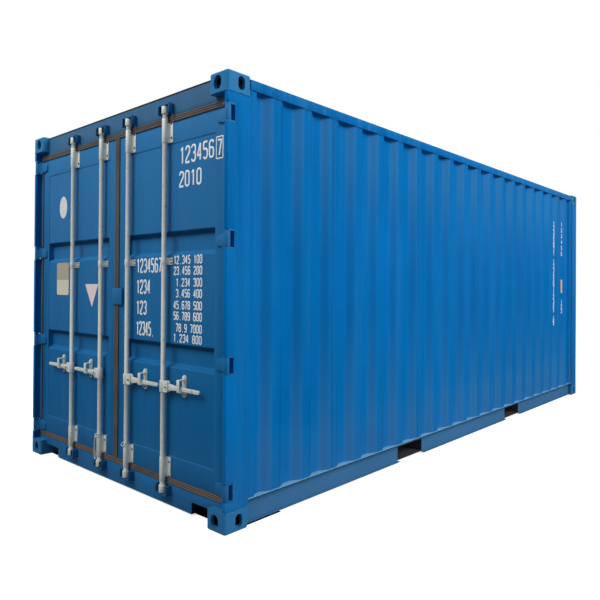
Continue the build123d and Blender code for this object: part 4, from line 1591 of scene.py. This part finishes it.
GLYPH_WIDTH = 4.0
GLYPH_HEIGHT = 8.0
GLYPH_SHARE = 0.64
GLYPHS = {
    "0": [[(1, 0), (3, 0), (4, 1), (4, 7), (3, 8), (1, 8), (0, 7), (0, 1), (1, 0)]],
    "1": [[(0.8, 6.6), (2.4, 8), (2.4, 0)]],
    "2": [[(0, 6.4), (0, 7), (1, 8), (3, 8), (4, 7), (4, 5.2), (0, 1), (0, 0), (4, 0)]],
    "3": [
        [(0, 6.8), (0, 7), (1, 8), (3, 8), (4, 7), (4, 5), (3, 4.2), (1.6, 4.2)],
        [(3, 4.2), (4, 3.4), (4, 1), (3, 0), (1, 0), (0, 1), (0, 1.4)],
    ],
    "4": [[(4, 2.2), (0, 2.2), (2.8, 8), (3, 8), (3, 0)]],
    "5": [[(4, 8), (0.2, 8), (0.2, 4.6), (3, 4.6), (4, 3.6), (4, 1), (3, 0), (1, 0), (0, 1)]],
    "6": [
        [(4, 7), (3, 8), (1, 8), (0, 7), (0, 1), (1, 0), (3, 0), (4, 1), (4, 3.6), (3, 4.6), (0, 4.6)]
    ],
    "7": [[(0, 8), (4, 8), (1.6, 0)]],
    "8": [
        [(1, 4.2), (0, 5), (0, 7), (1, 8), (3, 8), (4, 7), (4, 5), (3, 4.2), (1, 4.2)],
        [(1, 4.2), (0, 3.4), (0, 1), (1, 0), (3, 0), (4, 1), (4, 3.4), (3, 4.2)],
    ],
    "9": [
        [(0, 1), (1, 0), (3, 0), (4, 1), (4, 7), (3, 8), (1, 8), (0, 7), (0, 4.4), (1, 3.4), (4, 3.4)]
    ],
    ".": [[(1.6, 0), (2.4, 0)]],
}


def digit_lines(words, box):
    """The strokes of a row of digits, as runs of (along, z), spread evenly over a box."""
    a0, a1, z0, z1 = box
    pitch = (a1 - a0) / (len(words) - 1 + GLYPH_SHARE)
    wide = pitch * GLYPH_SHARE / GLYPH_WIDTH
    tall = (z1 - z0) / GLYPH_HEIGHT
    lines = []
    for i, letter in enumerate(words):
        for stroke in GLYPHS.get(letter, ()):
            lines.append([(a0 + i * pitch + a * wide, z0 + z * tall) for a, z in stroke])
    return lines


PAINT_FLATNESS = 0.04
PAINT_OUT = 0.0006
SIDE_PAINT_OUT = 0.0004
SIDE_DIGIT_HALF = 0.016


def painted_strokes(name, lines, stroke, out, way, finish, body):
    """Flat brush strokes. Way is the direction that they look, and out is how far along it they lie."""
    axis = 1 if way == "-Y" else 0
    if axis:
        runs = [[(a, out, z) for a, z in line] for line in lines]
    else:
        runs = [[(out, a, z) for a, z in line] for line in lines]
    values = {"Radius": stroke / 2, "Step": stroke * 0.45, "Ripple": 0.0}
    piece = run_beads(name, runs, values, finish, body)
    for vertex in piece.data.vertices:
        vertex.co[axis] = out + (vertex.co[axis] - out) * PAINT_FLATNESS
    return piece


LABEL_ROWS = (
    ("1234567", (0.241, 0.520, 1.470, 1.556)),
    ("1234", (0.241, 0.392, 1.331, 1.416)),
    ("123", (0.241, 0.352, 1.193, 1.277)),
    ("12345.", (0.241, 0.440, 1.055, 1.140)),
)
WEIGHT_ROWS = (
    ("12.345 100", (0.656, 0.930, 1.518, 1.565)),
    ("23.456 200", (0.656, 0.930, 1.451, 1.498)),
    ("1.234 300", (0.680, 0.930, 1.379, 1.425)),
    ("3.456 400", (0.680, 0.930, 1.312, 1.358)),
    ("45.678 500", (0.656, 0.930, 1.239, 1.285)),
    ("56.789 600", (0.656, 0.930, 1.172, 1.218)),
    ("78.9 7000", (0.680, 0.930, 1.099, 1.145)),
    ("1.234 800", (0.656, 0.930, 1.035, 1.081)),
)
NUMBER_BOX = (0.712, 1.030, 2.135, 2.232)
SIZE_BOX = (0.708, 0.915, 1.992, 2.082)
CHECK_BOX = (1.074, 1.106, 2.135, 2.222)
FRAME_BOX = (1.061, 1.119, 2.116, 2.241)
# Each row of digits on the side: its y, top, bottom, count and the share of a step that a digit fills
SIDE_COLUMNS = (
    (2.188, 2.187, 1.780, 8, 0.94),
    (2.188, 1.730, 1.090, 12, 0.94),
    (2.188, 1.045, 0.935, 3, 0.90),
    (2.466, 2.200, 1.760, 6, 0.60),
    (2.470, 1.232, 1.070, 3, 0.94),
)


class CONTAINER_OT_marks(ContainerStep, bpy.types.Operator):
    """Plain numbers on the right door and down the side"""

    bl_idname = "container.marks"
    bl_label = "Numbers"

    def execute(self, context):
        s = context.scene.container_marks
        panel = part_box("right_leaf_panel")[0].y - PAINT_OUT
        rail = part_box("right_leaf_frame")[0].y - PAINT_OUT
        big = digit_lines(s.number, NUMBER_BOX) + digit_lines(s.size_number, SIZE_BOX)
        self.on_door("door_numbers", big, s.stroke * 0.1, panel)
        x0, x1, z0, z1 = FRAME_BOX
        square = [(x0, z0), (x1, z0), (x1, z1), (x0, z1), (x0, z0)]
        self.on_door("door_digit_frame", [square], s.stroke * 0.055, rail)
        self.on_door("door_boxed_digit", digit_lines(s.check_digit, CHECK_BOX), s.stroke * 0.09, rail)
        labels = [line for words, box in LABEL_ROWS for line in digit_lines(words, box)]
        self.on_door("door_labels", labels, s.stroke * 0.09, panel)
        weights = [line for words, box in WEIGHT_ROWS for line in digit_lines(words, box)]
        self.on_door("door_weights", weights, s.stroke * 0.062, panel)
        self.side_numbers(s)
        return {"FINISHED"}

    @staticmethod
    def on_door(name, lines, stroke, out):
        """Strokes on the right door."""
        painted_strokes(name, lines, stroke, out, "-Y", "door_marks", "right_door")

    @staticmethod
    def side_numbers(s):
        """Digits one under the other near the blind end, on both sides."""
        digits = s.number + s.check_digit
        for side, sign in SIDES:
            low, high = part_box(f"{side}_wall")
            x = (high.x + SIDE_PAINT_OUT) if sign > 0 else (low.x - SIDE_PAINT_OUT)
            lines = []
            for y, top, bottom, count, fill in SIDE_COLUMNS:
                step = (top - bottom) / count
                for i in range(count):
                    z1 = top - i * step
                    box = (y - SIDE_DIGIT_HALF, y + SIDE_DIGIT_HALF, z1 - step * fill, z1)
                    digit = digit_lines(digits[i % len(digits)], box)
                    if sign < 0:
                        digit = [[(2 * y - a, z) for a, z in line] for line in digit]
                    lines += digit
            name, stroke = f"{side}_side_numbers", s.stroke * 0.07
            painted_strokes(name, lines, stroke, x, "+X", "side_marks", "frame")


PLATE_BOX = (-0.913, -0.716, 1.305, 1.559)
PLATE_CORNER = 0.022
PLATE_OUT = 0.0012
PLATE_RIVET_OUT = 0.0022
PLATE_RIVET = {"Radius": 0.004, "Height": 0.002}
PATCH_CORNERS = [(-0.457, 1.391), (-0.266, 1.391), (-0.357, 1.222)]
OVAL_CENTRE = (-0.8145, 1.997)
OVAL_REACH = (0.0615, 0.087)
OVAL_POINTS = 32
SIDE_PATCH = ((2.445, 1.325), (2.492, 1.488))


def rounded_outline(x0, x1, z0, z1, radius):
    """A rectangle of (x, z) with round corners."""
    points = []
    centres = ((x1, z1, -1, -1), (x0, z1, 1, -1), (x0, z0, 1, 1), (x1, z0, -1, 1))
    for quarter, (x, z, right, up) in enumerate(centres):
        for step in range(7):
            angle = math.pi / 2 * (quarter + step / 6)
            across = x + right * radius + radius * math.cos(angle)
            points.append((across, z + up * radius + radius * math.sin(angle)))
    return points


class CONTAINER_OT_plates(ContainerStep, bpy.types.Operator):
    """The riveted data plate and the plain patches, all without words"""

    bl_idname = "container.plates"
    bl_label = "Plates and patches"

    def execute(self, context):
        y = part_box("left_leaf_panel")[0].y
        self.data_plate(y)
        self.door_patches(y)
        self.side_patch()
        return {"FINISHED"}

    def data_plate(self, y):
        """The plate on the left door and the rivets that hold it."""
        x0, x1, z0, z1 = PLATE_BOX
        outline = rounded_outline(x0, x1, z0, z1, PLATE_CORNER)
        self.flat("data_plate", outline, y - PLATE_OUT, FINISHES["plate"])
        places = [
            ((x, y - PLATE_RIVET_OUT, z), (0, -1, 0))
            for x in (x0 + 0.01, x1 - 0.01)
            for z in (z0 + 0.03, (z0 + z1) / 2, z1 - 0.03)
        ]
        seat_all("data_plate_rivets", "rivet", places, PLATE_RIVET, "galvanised", "left_door")

    def door_patches(self, y):
        """A plain triangle and a plain oval on the left door."""
        self.flat("left_door_patch", PATCH_CORNERS, y - PAINT_OUT, FINISHES["pink"])
        oval = [
            (
                OVAL_CENTRE[0] + OVAL_REACH[0] * math.cos(2 * math.pi * i / OVAL_POINTS),
                OVAL_CENTRE[1] + OVAL_REACH[1] * math.sin(2 * math.pi * i / OVAL_POINTS),
            )
            for i in range(OVAL_POINTS)
        ]
        self.flat("left_door_oval", oval, y - PAINT_OUT, FINISHES["patch"])

    @staticmethod
    def side_patch():
        """A plain patch on the right wall."""
        side_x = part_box("right_wall")[1].x + 0.0002
        patch = plate(
            "right_side_patch",
            (side_x - 0.001, *SIDE_PATCH[0]),
            (side_x + SIDE_PAINT_OUT, *SIDE_PATCH[1]),
            0.0002,
            FINISHES["yellow"],
        )
        mounted(patch, "frame")

    @staticmethod
    def flat(name, outline, y, material):
        """A flat shape on the door that looks to -Y."""
        mesh = bmesh.new()
        face = mesh.faces.new([mesh.verts.new((x, y, z)) for x, z in outline])
        face.normal_update()
        if face.normal.y > 0:
            face.normal_flip()
        data = bpy.data.meshes.new(name)
        mesh.to_mesh(data)
        mesh.free()
        return mounted(new_object(name, data, material), "left_door")


RINGS_PER_SIDE = 5
LASHING_RING = {"Rod": 0.006, "Radius": 0.03}
SCREWS_PER_ROW = 16
SCREW_SCATTER = 0.004
FLOOR_SCREW = {"Radius": 0.006, "Height": 0.001}


class CONTAINER_OT_inside(ContainerStep, bpy.types.Operator):
    """Lashing rings on the rails and screws in the floor"""

    bl_idname = "container.inside"
    bl_label = "Inside"

    def execute(self, context):
        self.rings()
        self.floor_screws()
        return {"FINISHED"}

    @staticmethod
    def rings():
        """Lashing rings at each side, low and high."""
        low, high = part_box("floor_boards")
        places = []
        for side, sign in SIDES:
            wall_low, wall_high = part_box(f"{side}_wall")
            x = (wall_low.x if sign > 0 else wall_high.x) - sign * 0.001
            for i in range(RINGS_PER_SIDE):
                y = low.y + 0.5 + i * (high.y - low.y - 1.0) / (RINGS_PER_SIDE - 1)
                for z in (wall_low.z + 0.05, wall_high.z - 0.06):
                    places.append(((x, y, z), (-sign, 0, 0)))
        seat_all("lashing_rings", "ring", places, LASHING_RING, "galvanised", "frame")

    @staticmethod
    def floor_screws():
        """Screw heads over the cross members."""
        low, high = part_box("floor_boards")
        random.seed(RANDOM_SEED)
        places = []
        for member_low, member_high in solids_of("cross_members"):
            y = (member_low.y + member_high.y) / 2
            for i in range(SCREWS_PER_ROW):
                x = low.x + 0.07 + i * (high.x - low.x - 0.14) / (SCREWS_PER_ROW - 1)
                scatter = random.uniform(-SCREW_SCATTER, SCREW_SCATTER)
                places.append(((x, y + scatter, high.z), (0, 0, 1)))
        seat_all("floor_screws", "rivet", places, FLOOR_SCREW, "galvanised", "frame")


STEPS = (
    CONTAINER_OT_stage,
    CONTAINER_OT_finishes,
    CONTAINER_OT_sheets,
    CONTAINER_OT_edges,
    CONTAINER_OT_seals,
    CONTAINER_OT_welds,
    CONTAINER_OT_studs,
    CONTAINER_OT_marks,
    CONTAINER_OT_plates,
    CONTAINER_OT_inside,
)
SETTINGS = {
    "container_finishes": ContainerFinishes,
    "container_sheets": ContainerSheets,
    "container_marks": ContainerMarks,
}


class CONTAINER_PT_panel(bpy.types.Panel):
    """The steps and settings of the container"""

    bl_idname = "CONTAINER_PT_panel"
    bl_label = "Container"
    bl_space_type = "VIEW_3D"
    bl_region_type = "UI"
    bl_category = "Container"

    def draw(self, context):
        layout = self.layout
        for step in STEPS:
            layout.operator(step.bl_idname)
        for group in SETTINGS:
            box = layout.box()
            values = getattr(context.scene, group)
            for field in values.__annotations__:
                box.prop(values, field)


def register():
    """Adds the settings, the steps and the panel."""
    for name, group in SETTINGS.items():
        bpy.utils.register_class(group)
        setattr(bpy.types.Scene, name, PointerProperty(type=group))
    for step in STEPS:
        bpy.utils.register_class(step)
    bpy.utils.register_class(CONTAINER_PT_panel)


def unregister():
    """Takes them away again."""
    bpy.utils.unregister_class(CONTAINER_PT_panel)
    for step in reversed(STEPS):
        bpy.utils.unregister_class(step)
    for name, group in SETTINGS.items():
        delattr(bpy.types.Scene, name)
        bpy.utils.unregister_class(group)


def main():
    """Runs every step in order."""
    register()
    for step in STEPS:
        group, name = step.bl_idname.split(".")
        getattr(getattr(bpy.ops, group), name)()


if __name__ == "__main__":
    main()
